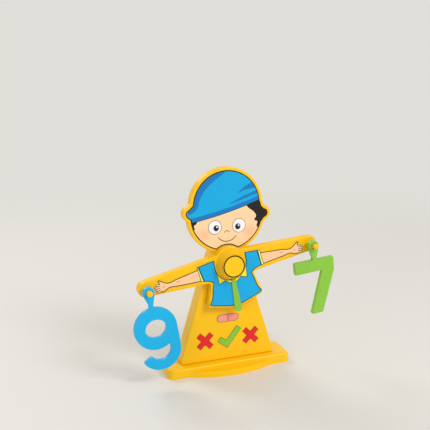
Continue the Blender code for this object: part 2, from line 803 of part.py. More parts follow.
def make_stand_cover(frame):
    """The rear cover, let into the walls of the stand."""
    plan = offset(stand_outline(), -STAND_WALL - GAP)
    cover = slab("stand_cover", plan, STAND_REAR, STAND_REAR + STAND_WALL, frame)
    add_screw_seats(cover, stand_screw_places(), STAND_REAR, frame)
    bore = rods("cover bore", [(0, PIVOT_HEIGHT)], PIN_RADIUS + GAP, STAND_REAR - PAST, 0, frame, 24)
    cut(cover, bore)
    return as_piece(cover, YELLOW, 0.35)


def make_head_cover(frame):
    """The rear cover of the head, let into its walls and round the top of the stand."""
    plan = offset(head_outline(), -HEAD_WALL - GAP)
    cover = round_pivot("head_cover", plan, HEAD_REAR, HEAD_REAR + HEAD_WALL, THROAT_RADIUS + GAP, frame)
    add_screw_seats(cover, head_screw_places(), HEAD_REAR, frame)
    return as_piece(cover, YELLOW, 0.35)


def print_depths(face):
    """Where a printed sheet lies in the recess of a face."""
    rear = face - PRINT_RECESS + GAP
    return rear, rear + PRINT_THICKNESS


def make_head_print(frame):
    rear, front = print_depths(STAND_FRONT)
    plan = offset(head_outline(), -PRINT_INSET)
    return as_piece(round_pivot("head_print", plan, rear, front, NECK_RADIUS + GAP, frame), SKIN, 0.4)


def mark_depths():
    rear = STAND_FRONT + GAP
    return rear, rear + MARK_THICKNESS


def make_scale_band(frame):
    """The capsule that the pointer plays over."""
    rear, front = mark_depths()
    radius = BAND_HEIGHT / 2
    reach = BAND_WIDTH / 2 - radius
    plan = arc((reach, BAND_MIDDLE), radius, -90, 90, 12) + arc((-reach, BAND_MIDDLE), radius, 90, 270, 12)
    return as_piece(slab("scale_band", plan, rear, front, frame), PINK, 0.5)


def make_cross(name, x, frame):
    """Two bars that cross at right angles, turned to stand on their points."""
    rear, front = mark_depths()
    arm = CROSS_SIZE / 2
    bar = CROSS_BAR / 2
    quarter = [(bar, -arm), (bar, -bar), (arm, -bar)]
    plan = []
    for turn in range(4):
        plan += turned(quarter, 90 * turn)
    plan = [(x + u, BAND_MIDDLE - CROSS_DROP + v) for u, v in turned(plan, 45)]
    return as_piece(slab(name, plan, rear, front, frame), SIGNAL_RED, 0.5)


def make_tick(frame):
    """A tick with a short left stroke and a long right one."""
    rear, front = mark_depths()
    bar = TICK_BAR / 2
    plan = [
        (-bar, -bar),
        (TICK_LONG, -bar),
        (TICK_LONG, bar),
        (bar, bar),
        (bar, TICK_SHORT),
        (-bar, TICK_SHORT),
    ]
    plan = [(u - TICK_LEFT, BAND_MIDDLE - TICK_DROP + v) for u, v in turned(plan, TICK_LEAN)]
    return as_piece(slab("tick", plan, rear, front, frame), LEAF_GREEN, 0.5)


# Pivot

def make_pivot_pin(frame):
    """A steel pin with a flat head behind the stand and a groove for the clip near its front end."""
    clip_rear = BUSH_TOP + GAP
    clip_front = clip_rear + CLIP_THICKNESS
    end = clip_front + PIN_END
    groove = PIN_RADIUS - GROOVE_DEPTH
    head_front = STAND_REAR - GAP
    head_rear = head_front - PIN_HEAD_THICKNESS
    profile = [
        (0, end),
        (groove, end),
        (PIN_RADIUS, end - GROOVE_DEPTH),
        (PIN_RADIUS, clip_front + GAP),
        (groove, clip_front + GAP),
        (groove, clip_rear - GAP),
        (PIN_RADIUS, clip_rear - GAP),
        (PIN_RADIUS, head_front),
        (PIN_HEAD_RADIUS, head_front),
        (PIN_HEAD_RADIUS, head_rear + GROOVE_DEPTH),
        (PIN_HEAD_RADIUS - GROOVE_DEPTH, head_rear),
        (0, head_rear),
    ]
    pin = lathe("pivot_pin", profile, frame, 16)
    pin.location.y = PIVOT_HEIGHT
    return as_piece(pin, STEEL, 0.25, 1.0, smooth=True)


def make_spacer_washer(frame):
    rear = STAND_FRONT + GAP
    washer = tube("spacer_washer", SPACER_RADIUS, PIN_RADIUS + GAP, rear, rear + SPACER_THICKNESS, frame, 20)
    washer.location.y = PIVOT_HEIGHT
    return as_piece(washer, WHITE, 0.4, smooth=True)


def make_retaining_clip(frame):
    """A flat clip, open at one side so that it slides into the pin's groove."""
    rear = BUSH_TOP + GAP
    front = rear + CLIP_THICKNESS
    bore = PIN_RADIUS - GROOVE_DEPTH + GAP
    mouth = math.degrees(math.asin(bore * 0.9 / CLIP_RADIUS))
    inner_mouth = math.degrees(math.asin(0.9))
    outside = arc((0, 0), CLIP_RADIUS, -90 + mouth, 270 - mouth, 24)
    inside = arc((0, 0), bore, 270 - inner_mouth, -90 + inner_mouth, 16)
    clip = slab("retaining_clip", outside + inside, rear, front, frame)
    clip.location.y = PIVOT_HEIGHT
    return as_piece(clip, STEEL, 0.3, 1.0)


def make_bearing_bush(frame):
    """A flanged bush in the beam's hub, which turns on the pin."""
    bore = PIN_RADIUS + GAP
    flange_rear = HUB_TOP + GAP
    profile = [
        (BUSH_FLANGE_RADIUS, BUSH_TOP),
        (BUSH_FLANGE_RADIUS, flange_rear),
        (BUSH_RADIUS, flange_rear),
        (BUSH_RADIUS, BEAM_REAR),
        (bore, BEAM_REAR),
        (bore, BUSH_TOP),
    ]
    bush = lathe("bearing_bush", profile, frame, 20, closed=True)
    return as_piece(bush, WHITE, 0.35, smooth=True)


# Beam

def hem_half(inset):
    """The right half of the hem, a shallow V with a rounded middle, some way inside the shirt's edge."""
    slope = math.radians(HEM_SLOPE)
    point_y = inset - HEM_DROP - HEM_RADIUS * (1 / math.cos(slope) - 1)
    reach = HEM_HALF_WIDTH - inset
    corner_y = point_y + reach * math.tan(slope)
    middle = fillet((-reach, corner_y), (0, point_y), (reach, corner_y), HEM_RADIUS, 8)
    return middle[4:] + [(reach, corner_y)]


def body_half():
    """The right half of the shirt and the arm, from the middle of the hem up to the top of the hand."""
    hem = hem_half(0)
    armpit = (ARMPIT_REACH, -ARMPIT_DROP)
    hand = (ARM_REACH, -HAND_DROP)
    wrist_low = touch(armpit, hand, HAND_RADIUS, -1)
    wrist_high = touch((SHOULDER_REACH, SHOULDER_RISE), hand, HAND_RADIUS, 1)
    corner = fillet(hem[-2], hem[-1], armpit, HEM_CORNER)
    pit = fillet(hem[-1], armpit, wrist_low, ARMPIT_RADIUS, 3)
    fist = arc(hand, HAND_RADIUS, bearing(hand, wrist_low), bearing(hand, wrist_high), 10)
    return hem[:-1] + corner + pit + fist


def beam_outline():
    """Shirt and arms, with a round neck over the boss."""
    half = body_half()
    shoulder = (SHOULDER_REACH, SHOULDER_RISE)
    slope = Vector(shoulder) - Vector(half[-1])
    slope.normalize()
    foot = Vector(half[-1]) - slope * slope.dot(Vector(half[-1]))
    collar = tuple(foot - slope * math.sqrt(NECK_RADIUS ** 2 - foot.length_squared))
    start = bearing((0, 0), collar)
    over = arc((0, 0), NECK_RADIUS, start, 180 - start, 16)
    corner = fillet(half[-1], collar, over[1], NECK_CORNER, 2)
    return half + corner + over[2:-2] + mirrored(half + corner)[:-1]


def hand_places():
    return [(-ARM_REACH, -HAND_DROP), (ARM_REACH, -HAND_DROP)]


def beam_screw_places():
    return [
        (-ARM_SCREW_REACH, -HAND_DROP),
        (ARM_SCREW_REACH, -HAND_DROP),
        (-BODY_SCREW_REACH, -BODY_SCREW_DROP),
        (BODY_SCREW_REACH, -BODY_SCREW_DROP),
    ]


def stud_places():
    first = POINTER_TOP_MARGIN + BOSS_RADIUS + STUD_DROP
    return [(0, -first), (0, -first - STUD_STEP)]


def body_print_outline():
    """Shirt, cuffs, forearms and hands, as one sheet."""
    half = hem_half(SHIRT_HEM_INSET) + [
        (WAIST_REACH, -WAIST_DROP),
        (PRINT_PIT_REACH, -PRINT_PIT_DROP),
        (CUFF_REACH, -CUFF_DROP),
        (CUFF_REACH, -FOREARM_DROP),
        (WRIST_REACH, -WRIST_DROP),
    ]
    half += arc((PALM_REACH, -PALM_DROP), PALM_RADIUS, -110, 110, 9)
    half += [
        (WRIST_REACH, WRIST_RISE),
        (CUFF_REACH, FOREARM_RISE),
        (CUFF_REACH, CUFF_RISE),
        (PRINT_CUT_RADIUS, SLEEVE_RISE),
    ]
    return half + mirrored(half)[:-1]


def beside_boss(name, outline, rear, front, half_width, frame):
    """The shirt's sheet, or the recess for it, open upwards round the boss."""
    sheet = slab(name, outline, rear, front, frame)
    opening = arc((0, 0), half_width, 180, 360, 20) + [(half_width, NECK_RADIUS), (-half_width, NECK_RADIUS)]
    cut(sheet, slab(name + " opening", opening, rear - PAST, front + PAST, frame))
    return sheet


def make_beam_front(frame):
    """The front shell of the beam, with the boss, the hub, the ribs and the screw bosses."""
    outline = beam_outline()
    shell = slab("beam_front", outline, BEAM_REAR, BEAM_FACE, frame)
    round_rim(shell, BEAM_EDGE, 2)
    slope = (BOSS_RADIUS - BOSS_TOP_RADIUS) / BOSS_HEIGHT
    cone_profile = [
        (0, BOSS_TOP),
        (BOSS_TOP_RADIUS - CAP_EDGE, BOSS_TOP),
        (BOSS_TOP_RADIUS, BOSS_TOP - CAP_EDGE),
        (BOSS_RADIUS, BEAM_FACE),
        (BOSS_RADIUS, BEAM_INNER + BITE),
        (0, BEAM_INNER + BITE),
    ]
    join(shell, lathe("boss cone", cone_profile, frame))

    hollow = slab("beam hollow", offset(outline, -BEAM_WALL), BEAM_REAR - PAST, BEAM_INNER, frame)
    core_top = BOSS_TOP - BOSS_CORE_STOP
    cup_wall_radius = CUP_RADIUS + BEAM_WALL
    core_profile = [
        (BOSS_TOP_RADIUS + slope * (BOSS_TOP - core_top) - BEAM_WALL, core_top),
        (BOSS_RADIUS - BEAM_WALL, BEAM_FACE),
        (BOSS_RADIUS - BEAM_WALL, BEAM_INNER - PAST),
        (cup_wall_radius, BEAM_INNER - PAST),
        (cup_wall_radius, core_top),
    ]
    core = lathe("boss core", core_profile, frame, closed=True)
    cup = rods("cup", [(0, 0)], CUP_RADIUS, BEAM_FACE + CUP_FLOOR, BOSS_TOP + PAST, frame, 40)
    recess = beside_boss(
        "body recess", offset(body_print_outline(), GAP), BEAM_FACE - PRINT_RECESS, BEAM_FACE + PAST,
        PRINT_CUT_RADIUS - GAP, frame)
    cut(shell, hollow, core, cup, recess)

    rib_rear = BEAM_INNER - BEAM_RIB_HEIGHT
    rib_front = BEAM_INNER + BITE
    hub = rods("hub", [(0, 0)], HUB_RADIUS, BEAM_REAR, HUB_TOP, frame, 24)
    arm_runs = []
    for side in (-1, 1):
        arm_runs.append(((side * HUB_RADIUS * 0.9, -HAND_DROP), (side * (ARM_REACH - PEG_ROOT_RADIUS), -HAND_DROP)))
    arm_ribs = bars("arm ribs", arm_runs, RIB, rib_rear, rib_front, frame)
    places = beam_screw_places()
    body_runs = [((x / 5, y / 5), (x, y)) for x, y in places[2:]]
    body_ribs = bars("body ribs", body_runs, RIB, rib_rear, rib_front, frame)
    low_end = BODY_SCREW_REACH + SHOULDER_REACH / 2
    low_run = [((-low_end, -BODY_SCREW_DROP), (low_end, -BODY_SCREW_DROP))]
    low_rib = bars("low rib", low_run, RIB, rib_rear, rib_front + BITE / 2, frame)
    root_rear = PLATE_INNER + GAP
    root_wall_radius = PEG_ROOT_RADIUS + GAP + ROOT_WALL
    root_walls = rods("root walls", hand_places(), root_wall_radius, root_rear, rib_front, frame, 16)
    join(shell, hub, arm_ribs, body_ribs, low_rib, root_walls)

    root_seats = rods("root seats", hand_places(), PEG_ROOT_RADIUS + GAP, BEAM_REAR, BEAM_INNER, frame, 16)
    cut(shell, root_seats)

    boss_rear = BEAM_REAR + PAD_HEIGHT + GAP
    join(shell, rods("beam screw bosses", places, SCREW_BOSS_RADIUS, boss_rear, rib_front, frame))

    pilot_end = BEAM_REAR + SCREW_SINK + SCREW_LENGTH + GAP
    pilots = rods("beam pilots", places, SCREW_RADIUS + GAP, BEAM_REAR, pilot_end, frame, 8)
    bore = rods("hub bore", [(0, 0)], BUSH_RADIUS + GAP, BEAM_REAR - PAST, BOSS_TOP, frame, 24)
    peg_holes = rods("peg holes", hand_places(), PEG_RADIUS + GAP, BEAM_REAR, BEAM_FACE + PAST, frame, 16)
    stud_holes = rods("stud holes", stud_places(), STUD_RADIUS + GAP, rib_rear, BEAM_FACE + PAST, frame, 12)
    cut(shell, pilots, bore, peg_holes, stud_holes)
    return as_piece(shell, YELLOW, 0.35)


def make_beam_back(frame):
    """The rear plate, let into the walls of the beam, with a curved slot that the stop runs in."""
    plan = offset(beam_outline(), -BEAM_WALL - GAP)
    plate = slab("beam_back", plan, BEAM_REAR, PLATE_INNER, frame)
    add_screw_seats(plate, beam_screw_places(), BEAM_REAR, frame)
    hub_hole = rods("hub hole", [(0, 0)], HUB_RADIUS + GAP, BEAM_REAR - PAST, PLATE_INNER + PAST, frame, 24)

    half_width = STOP_RADIUS + GAP
    ends = arc((0, 0), STOP_REACH, -90 - TILT, -90 + TILT, 1)
    slot_plan = arc((0, 0), STOP_REACH + half_width, -90 - TILT, -90 + TILT, 6)
    slot_plan += arc(ends[1], half_width, -90 + TILT, 90 + TILT, 8)
    slot_plan += arc((0, 0), STOP_REACH - half_width, -90 + TILT, -90 - TILT, 6)
    slot_plan += arc(ends[0], half_width, 90 - TILT, 270 - TILT, 8)
    slot = slab("stop slot", offset(slot_plan, WELD), BEAM_REAR - PAST, PLATE_INNER + PAST, frame)
    cut(plate, hub_hole, slot)
    return as_piece(plate, YELLOW, 0.35)


def make_body_print(frame):
    rear, front = print_depths(BEAM_FACE)
    sheet = beside_boss("body_print", body_print_outline(), rear, front, PRINT_CUT_RADIUS, frame)
    cut(sheet, rods("print stud holes", stud_places(), STUD_RADIUS + GAP, rear - PAST, front + PAST, frame, 12))
    return as_piece(sheet, SHIRT_BLUE, 0.4)


def make_pointer(frame):
    """A strip that widens towards a blunt rounded end, with two studs through the shirt."""
    rear = print_depths(BEAM_FACE)[1] + GAP
    top = -(BOSS_RADIUS + POINTER_TOP_MARGIN)
    tip = (0, -(HEM_DROP + POINTER_OVERHANG))
    low_left = (-POINTER_END_WIDTH / 2, tip[1] + POINTER_BLUNTNESS)
    low_right = (POINTER_END_WIDTH / 2, tip[1] + POINTER_BLUNTNESS)
    top_right = (POINTER_TOP_WIDTH / 2, top)
    top_left = (-POINTER_TOP_WIDTH / 2, top)
    plan = fillet(top_left, low_left, tip, POINTER_CORNER, 3) + [tip]
    plan += fillet(tip, low_right, top_right, POINTER_CORNER, 3) + [top_right, top_left]
    strip = slab("pointer", plan, rear, rear + POINTER_THICKNESS, frame)
    join(strip, rods("studs", stud_places(), STUD_RADIUS, rear - STUD_LENGTH, rear + BITE, frame, 12))
    return as_piece(strip, LEAF_GREEN, 0.4)


def make_pivot_cap(frame):
    """A flat cap with a skirt that snaps into the boss, and a shallow recess for the printed disc."""
    skirt = CUP_RADIUS - GAP
    floor = CAP_FRONT - PRINT_RECESS
    recess = CAP_RADIUS - CAP_RIM
    profile = [
        (0, floor),
        (recess, floor),
        (recess, CAP_FRONT),
        (CAP_RADIUS, CAP_FRONT),
        (CAP_RADIUS, CAP_REAR),
        (skirt, CAP_REAR),
        (skirt, CAP_REAR - CAP_SKIRT),
        (skirt - CAP_SKIRT_WALL, CAP_REAR - CAP_SKIRT),
        (skirt - CAP_SKIRT_WALL, CAP_REAR),
        (0, CAP_REAR),
    ]
    return as_piece(lathe("pivot_cap", profile, frame, 32), YELLOW, 0.35, smooth=True)


def make_cap_badge(frame):
    """The printed disc in the cap."""
    radius = CAP_RADIUS - CAP_RIM - GAP
    rear = CAP_FRONT - PRINT_RECESS + GAP
    profile = [(0, rear + PRINT_THICKNESS), (radius, rear + PRINT_THICKNESS), (radius, rear), (0, rear)]
    return as_piece(lathe("cap_badge", profile, frame, 32), PAPER, 0.4, smooth=True)


def make_peg(name, side, frame):
    """A headed peg, held by its wide root between the face and the rear plate."""
    root_rear = PLATE_INNER + GAP
    root_front = BEAM_INNER - GAP
    head_rear = BEAM_FACE + PEG_LENGTH
    head_front = head_rear + PEG_HEAD_THICKNESS
    edge = PEG_HEAD_THICKNESS / 3
    profile = [
        (0, head_front),
        (PEG_HEAD_RADIUS - edge, head_front),
        (PEG_HEAD_RADIUS, head_front - edge),
        (PEG_HEAD_RADIUS, head_rear + edge / 2),
        (PEG_RADIUS, head_rear - edge / 2),
        (PEG_RADIUS, root_front),
        (PEG_ROOT_RADIUS, root_front),
        (PEG_ROOT_RADIUS, root_rear),
        (0, root_rear),
    ]
    peg = lathe(name, profile, frame, 16)
    peg.location = (side * ARM_REACH, -HAND_DROP, 0)
    return as_piece(peg, YELLOW, 0.3, smooth=True)


# Digits

def ring_and_stem(foot_y):
    """The ring at the top of a digit and the sides of its stem, from the right side to the left."""
    half = STEM_WIDTH / 2
    start = -math.degrees(math.acos(half / RING_RADIUS))
    loop = arc((0, 0), RING_RADIUS, start, 180 - start, 18)
    return [(half, foot_y)] + loop + [(-half, foot_y)]


def nine_outline(with_ring):
    """A round bowl and a tail that curls back under it, with or without the ring on top."""
    bowl = (0, -NINE_BOWL_DROP)
    tail = (NINE_BOWL_RADIUS - NINE_TAIL_RADIUS, -NINE_TAIL_DROP)
    tail_inside = NINE_TAIL_RADIUS - NINE_STROKE
    inner_x = tail[0] + tail_inside
    end_outside = arc(tail, NINE_TAIL_RADIUS, NINE_TAIL_END, 0, 1)[0]
    end_inside = arc(tail, tail_inside, NINE_TAIL_END, 0, 1)[0]
    underside = arc(tail, NINE_TAIL_RADIUS, NINE_TAIL_END + NINE_END_TRIM, 0, 14)
    crotch = 360 - math.degrees(math.acos(inner_x / NINE_BOWL_RADIUS))
    lean = math.degrees(math.asin(STEM_WIDTH / 2 / NINE_BOWL_RADIUS))
    stem_foot = -NINE_BOWL_DROP + math.sqrt(NINE_BOWL_RADIUS ** 2 - (STEM_WIDTH / 2) ** 2)
    inside = arc(tail, tail_inside, 0, NINE_TAIL_END + NINE_END_TRIM, 10)
    tip = fillet(inside[-1], end_inside, end_outside, NINE_END_INNER, 2)
    tip += fillet(end_inside, end_outside, underside[0], NINE_END_OUTER, 3)
    if with_ring:
        top = arc(bowl, NINE_BOWL_RADIUS, 0, 90 - lean, 7)[:-1]
        top += ring_and_stem(stem_foot)
        top += arc(bowl, NINE_BOWL_RADIUS, 90 + lean, crotch, 18)[1:]
    else:
        top = arc(bowl, NINE_BOWL_RADIUS, 0, crotch, 24)
    return underside + top + inside + tip


def make_nine(frame):
    """The 9 with its ring, hollowed from behind."""
    rear = BEAM_FACE + DIGIT_CLEARANCE
    front = rear + DIGIT_THICKNESS
    bowl = (0, -NINE_BOWL_DROP - RING_DROP)
    nine = slab("digit_nine", dropped(nine_outline(True)), rear, front, frame)
    round_rim(nine, DIGIT_EDGE, 2)
    pocket = slab(
        "nine pocket", offset(dropped(nine_outline(False)), -DIGIT_WALL), rear - PAST, rear + NINE_POCKET, frame)
    island = ellipse(bowl, NINE_HOLE_HALF_WIDTH + DIGIT_WALL, NINE_HOLE_HALF_HEIGHT + DIGIT_WALL, 24)
    cut(pocket, slab("nine island", island, rear - 2 * PAST, front, frame))
    hole = ellipse(bowl, NINE_HOLE_HALF_WIDTH, NINE_HOLE_HALF_HEIGHT, 28)
    through = slab("nine hole", hole, rear - PAST, front + PAST, frame)
    bore = rods("nine bore", [(0, -RING_DROP)], RING_BORE, rear - PAST, front + PAST, frame, 24)
    cut(nine, pocket, through, bore)
    return as_piece(nine, SKY_BLUE, 0.3)


def dropped(points):
    """A digit's outline hung a little below the axis of its peg, as its ring rests on the peg."""
    return [(x, y - RING_DROP) for x, y in points]


def seven_outline(with_ring):
    bar_bottom = -(SEVEN_TOP_DROP + SEVEN_BAR)
    corners = [
        (-SEVEN_FOOT_LEFT, -SEVEN_FOOT_DROP),
        (SEVEN_FOOT_RIGHT, -SEVEN_FOOT_DROP),
        (SEVEN_RIGHT, -SEVEN_SHOULDER_DROP),
        (SEVEN_RIGHT, -SEVEN_TOP_DROP),
        (-SEVEN_LEFT, -SEVEN_TOP_DROP),
        (-SEVEN_LEFT, bar_bottom),
        (SEVEN_INNER, bar_bottom),
    ]
    points = []
    for index, corner in enumerate(corners):
        after = corners[(index + 1) % len(corners)]
        points += fillet(corners[index - 1], corner, after, SEVEN_CORNER, 3)
        if with_ring and index == 3:
            points += ring_and_stem(-SEVEN_TOP_DROP)
    return points


def make_seven(frame):
    """The 7 with its ring, hollowed from behind."""
    rear = BEAM_FACE + DIGIT_CLEARANCE
    front = rear + DIGIT_THICKNESS
    seven = slab("digit_seven", dropped(seven_outline(True)), rear, front, frame)
    round_rim(seven, DIGIT_EDGE, 2)
    pocket = slab(
        "seven pocket", offset(dropped(seven_outline(False)), -DIGIT_WALL), rear - PAST, rear + SEVEN_POCKET, frame)
    bore = rods("seven bore", [(0, -RING_DROP)], RING_BORE, rear - PAST, front + PAST, frame, 24)
    cut(seven, pocket, bore)
    return as_piece(seven, LEAF_GREEN, 0.3)


def build():
    stand_frame = new_frame("stand_frame", None, (0, 0, 0), (90, 0, 0))
    beam_pivot = new_frame("beam_pivot", None, (0, 0, PIVOT_HEIGHT), (90, -TILT, 0))
    nine_pivot = new_frame("nine_pivot", beam_pivot, (-ARM_REACH, -HAND_DROP, 0), (0, 0, NINE_LEAN - TILT))
    seven_pivot = new_frame("seven_pivot", beam_pivot, (ARM_REACH, -HAND_DROP, 0), (0, 0, SEVEN_LEAN - TILT))

    make_foot()
    make_stand_front(stand_frame)
    make_stand_cover(stand_frame)
    make_screws("stand_screw", stand_screw_places(), STAND_REAR, stand_frame)
    make_head_cover(stand_frame)
    make_screws("head_screw", head_screw_places(), HEAD_REAR, stand_frame)
    make_head_print(stand_frame)
    make_scale_band(stand_frame)
    make_cross("cross_left", -CROSS_REACH, stand_frame)
    make_cross("cross_right", CROSS_REACH, stand_frame)
    make_tick(stand_frame)
    make_pivot_pin(stand_frame)
    make_spacer_washer(stand_frame)
    make_retaining_clip(stand_frame)

    make_beam_front(beam_pivot)
    make_beam_back(beam_pivot)
    make_screws("beam_screw", beam_screw_places(), BEAM_REAR, beam_pivot)
    make_bearing_bush(beam_pivot)
    make_body_print(beam_pivot)
    make_pointer(beam_pivot)
    make_pivot_cap(beam_pivot)
    make_cap_badge(beam_pivot)
    make_peg("peg_left", -1, beam_pivot)
    make_peg("peg_right", 1, beam_pivot)

    make_nine(nine_pivot)
    make_seven(seven_pivot)


build()
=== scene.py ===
"""Number balance: a child's head on an A-shaped stand, and arms that tilt with a 9 and a 7 hung from them."""

import json
import math

import bpy
from mathutils import Matrix, Vector

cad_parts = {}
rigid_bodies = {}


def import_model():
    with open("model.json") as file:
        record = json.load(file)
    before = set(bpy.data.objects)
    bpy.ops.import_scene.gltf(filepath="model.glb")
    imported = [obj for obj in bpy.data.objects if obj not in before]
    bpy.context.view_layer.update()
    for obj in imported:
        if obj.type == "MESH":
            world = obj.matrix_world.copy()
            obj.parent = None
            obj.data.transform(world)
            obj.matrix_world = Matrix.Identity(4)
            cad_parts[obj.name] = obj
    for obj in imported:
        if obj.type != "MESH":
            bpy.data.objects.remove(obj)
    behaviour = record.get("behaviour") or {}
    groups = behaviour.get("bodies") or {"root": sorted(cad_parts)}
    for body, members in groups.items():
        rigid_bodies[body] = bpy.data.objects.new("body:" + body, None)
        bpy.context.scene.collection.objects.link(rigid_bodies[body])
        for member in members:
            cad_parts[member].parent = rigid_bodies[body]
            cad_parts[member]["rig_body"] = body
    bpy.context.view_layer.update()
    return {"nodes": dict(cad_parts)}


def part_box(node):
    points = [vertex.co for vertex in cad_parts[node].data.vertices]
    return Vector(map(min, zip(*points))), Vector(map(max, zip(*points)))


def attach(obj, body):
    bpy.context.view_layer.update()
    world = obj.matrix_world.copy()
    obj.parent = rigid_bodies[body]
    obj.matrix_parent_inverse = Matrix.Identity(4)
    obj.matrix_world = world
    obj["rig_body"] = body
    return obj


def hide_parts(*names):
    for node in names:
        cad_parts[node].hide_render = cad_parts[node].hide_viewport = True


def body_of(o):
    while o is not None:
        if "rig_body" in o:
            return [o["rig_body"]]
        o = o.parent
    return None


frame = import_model()
nodes = frame["nodes"]

# The studio: a pale floor that fades into a pale background, with a large soft lamp from the front right, a
# weaker one from the left and one from behind. The camera stands to the left of the toy and a little above.

BACKGROUND = (0.755, 0.735, 0.695, 1.0)
FLOOR = (0.74, 0.72, 0.68, 1.0)
CAMERA_PLACE = (-0.373, -1.010, 0.475)
CAMERA_TURN = -19.54
CAMERA_DIP = 11.78
CAMERA_ROLL = -0.71
CAMERA_LENS = 58.6
DAYLIGHT = 0.62
FLOOR_RADIUS = 12.0
FADE_START = 0.35
FADE_END = 1.9

scene = bpy.context.scene
scene.view_settings.view_transform = "Standard"

camera_data = bpy.data.cameras.new("camera")
camera_data.lens = CAMERA_LENS
camera_data.sensor_width = 36.0
camera_data.clip_end = 50.0
camera = bpy.data.objects.new("camera", camera_data)
scene.collection.objects.link(camera)
camera.location = CAMERA_PLACE
camera.rotation_euler = (
    Matrix.Rotation(math.radians(CAMERA_TURN), 3, "Z")
    @ Matrix.Rotation(math.radians(90 - CAMERA_DIP), 3, "X")
    @ Matrix.Rotation(math.radians(CAMERA_ROLL), 3, "Z")
).to_euler()
scene.camera = camera

world = bpy.data.worlds.new("studio")
scene.world = world
world.use_nodes = True
sky = world.node_tree
sky.nodes.clear()
lit = sky.nodes.new("ShaderNodeBackground")
lit.inputs["Color"].default_value = (1.0, 0.99, 0.97, 1.0)
lit.inputs["Strength"].default_value = DAYLIGHT
seen = sky.nodes.new("ShaderNodeBackground")
seen.inputs["Color"].default_value = BACKGROUND
ray = sky.nodes.new("ShaderNodeLightPath")
seen_or_glossy = sky.nodes.new("ShaderNodeMath")
seen_or_glossy.operation = "MAXIMUM"
either = sky.nodes.new("ShaderNodeMath")
either.operation = "MAXIMUM"
swap = sky.nodes.new("ShaderNodeMixShader")
sky_out = sky.nodes.new("ShaderNodeOutputWorld")
sky.links.new(ray.outputs["Is Camera Ray"], seen_or_glossy.inputs[0])
sky.links.new(ray.outputs["Is Glossy Ray"], seen_or_glossy.inputs[1])
sky.links.new(seen_or_glossy.outputs[0], either.inputs[0])
sky.links.new(ray.outputs["Is Transmission Ray"], either.inputs[1])
sky.links.new(either.outputs[0], swap.inputs[0])
sky.links.new(lit.outputs[0], swap.inputs[1])
sky.links.new(seen.outputs[0], swap.inputs[2])
sky.links.new(swap.outputs[0], sky_out.inputs["Surface"])


def soft_lamp(name, place, target, size, power):
    lamp_data = bpy.data.lights.new(name, "AREA")
    lamp_data.shape = "DISK"
    lamp_data.size = size
    lamp_data.energy = power
    lamp = bpy.data.objects.new(name, lamp_data)
    scene.collection.objects.link(lamp)
    lamp.location = place
    lamp.rotation_euler = (Vector(target) - Vector(place)).to_track_quat("-Z", "Y").to_euler()


soft_lamp("key lamp", place=(1.1, -1.9, 1.8), target=(0, 0, 0.16), size=1.1, power=34.0)
soft_lamp("fill lamp", place=(-1.8, -1.5, 0.9), target=(0, 0, 0.16), size=1.4, power=6.0)
soft_lamp("rim lamp", place=(-0.6, 1.7, 1.6), target=(0, 0, 0.2), size=1.0, power=14.0)

bpy.ops.object.select_all(action="DESELECT")
bpy.ops.mesh.primitive_circle_add(vertices=96, radius=FLOOR_RADIUS, fill_type="NGON", location=(0, 0, 0))
floor = bpy.context.object
floor.name = "floor"
floor_paint = bpy.data.materials.new("pale floor")
floor_paint.use_nodes = True
tree = floor_paint.node_tree
shader = tree.nodes["Principled BSDF"]
shader.inputs["Base Color"].default_value = FLOOR
shader.inputs["Roughness"].default_value = 0.55
out = tree.nodes["Material Output"]
where = tree.nodes.new("ShaderNodeTexCoord")
length = tree.nodes.new("ShaderNodeVectorMath")
length.operation = "LENGTH"
fade = tree.nodes.new("ShaderNodeMapRange")
fade.interpolation_type = "SMOOTHSTEP"
fade.inputs["From Min"].default_value = FADE_START
fade.inputs["From Max"].default_value = FADE_END
glow = tree.nodes.new("ShaderNodeEmission")
glow.inputs["Color"].default_value = BACKGROUND
mix = tree.nodes.new("ShaderNodeMixShader")
tree.links.new(where.outputs["Object"], length.inputs[0])
tree.links.new(length.outputs["Value"], fade.inputs["Value"])
tree.links.new(fade.outputs[0], mix.inputs[0])
tree.links.new(shader.outputs[0], mix.inputs[1])
tree.links.new(glow.outputs[0], mix.inputs[2])
tree.links.new(mix.outputs[0], out.inputs["Surface"])
floor.data.materials.append(floor_paint)

# The yellow mouldings: foot, stand with its head, the covers behind them, the beam with its rear plate, and
# the cap over the pivot. They are injection-moulded in one glossy yellow plastic and carry everything else.

YELLOW = (0.955, 0.545, 0.002, 1.0)
SMOOTH_UP_TO = math.radians(32)
WELD = 0.00001


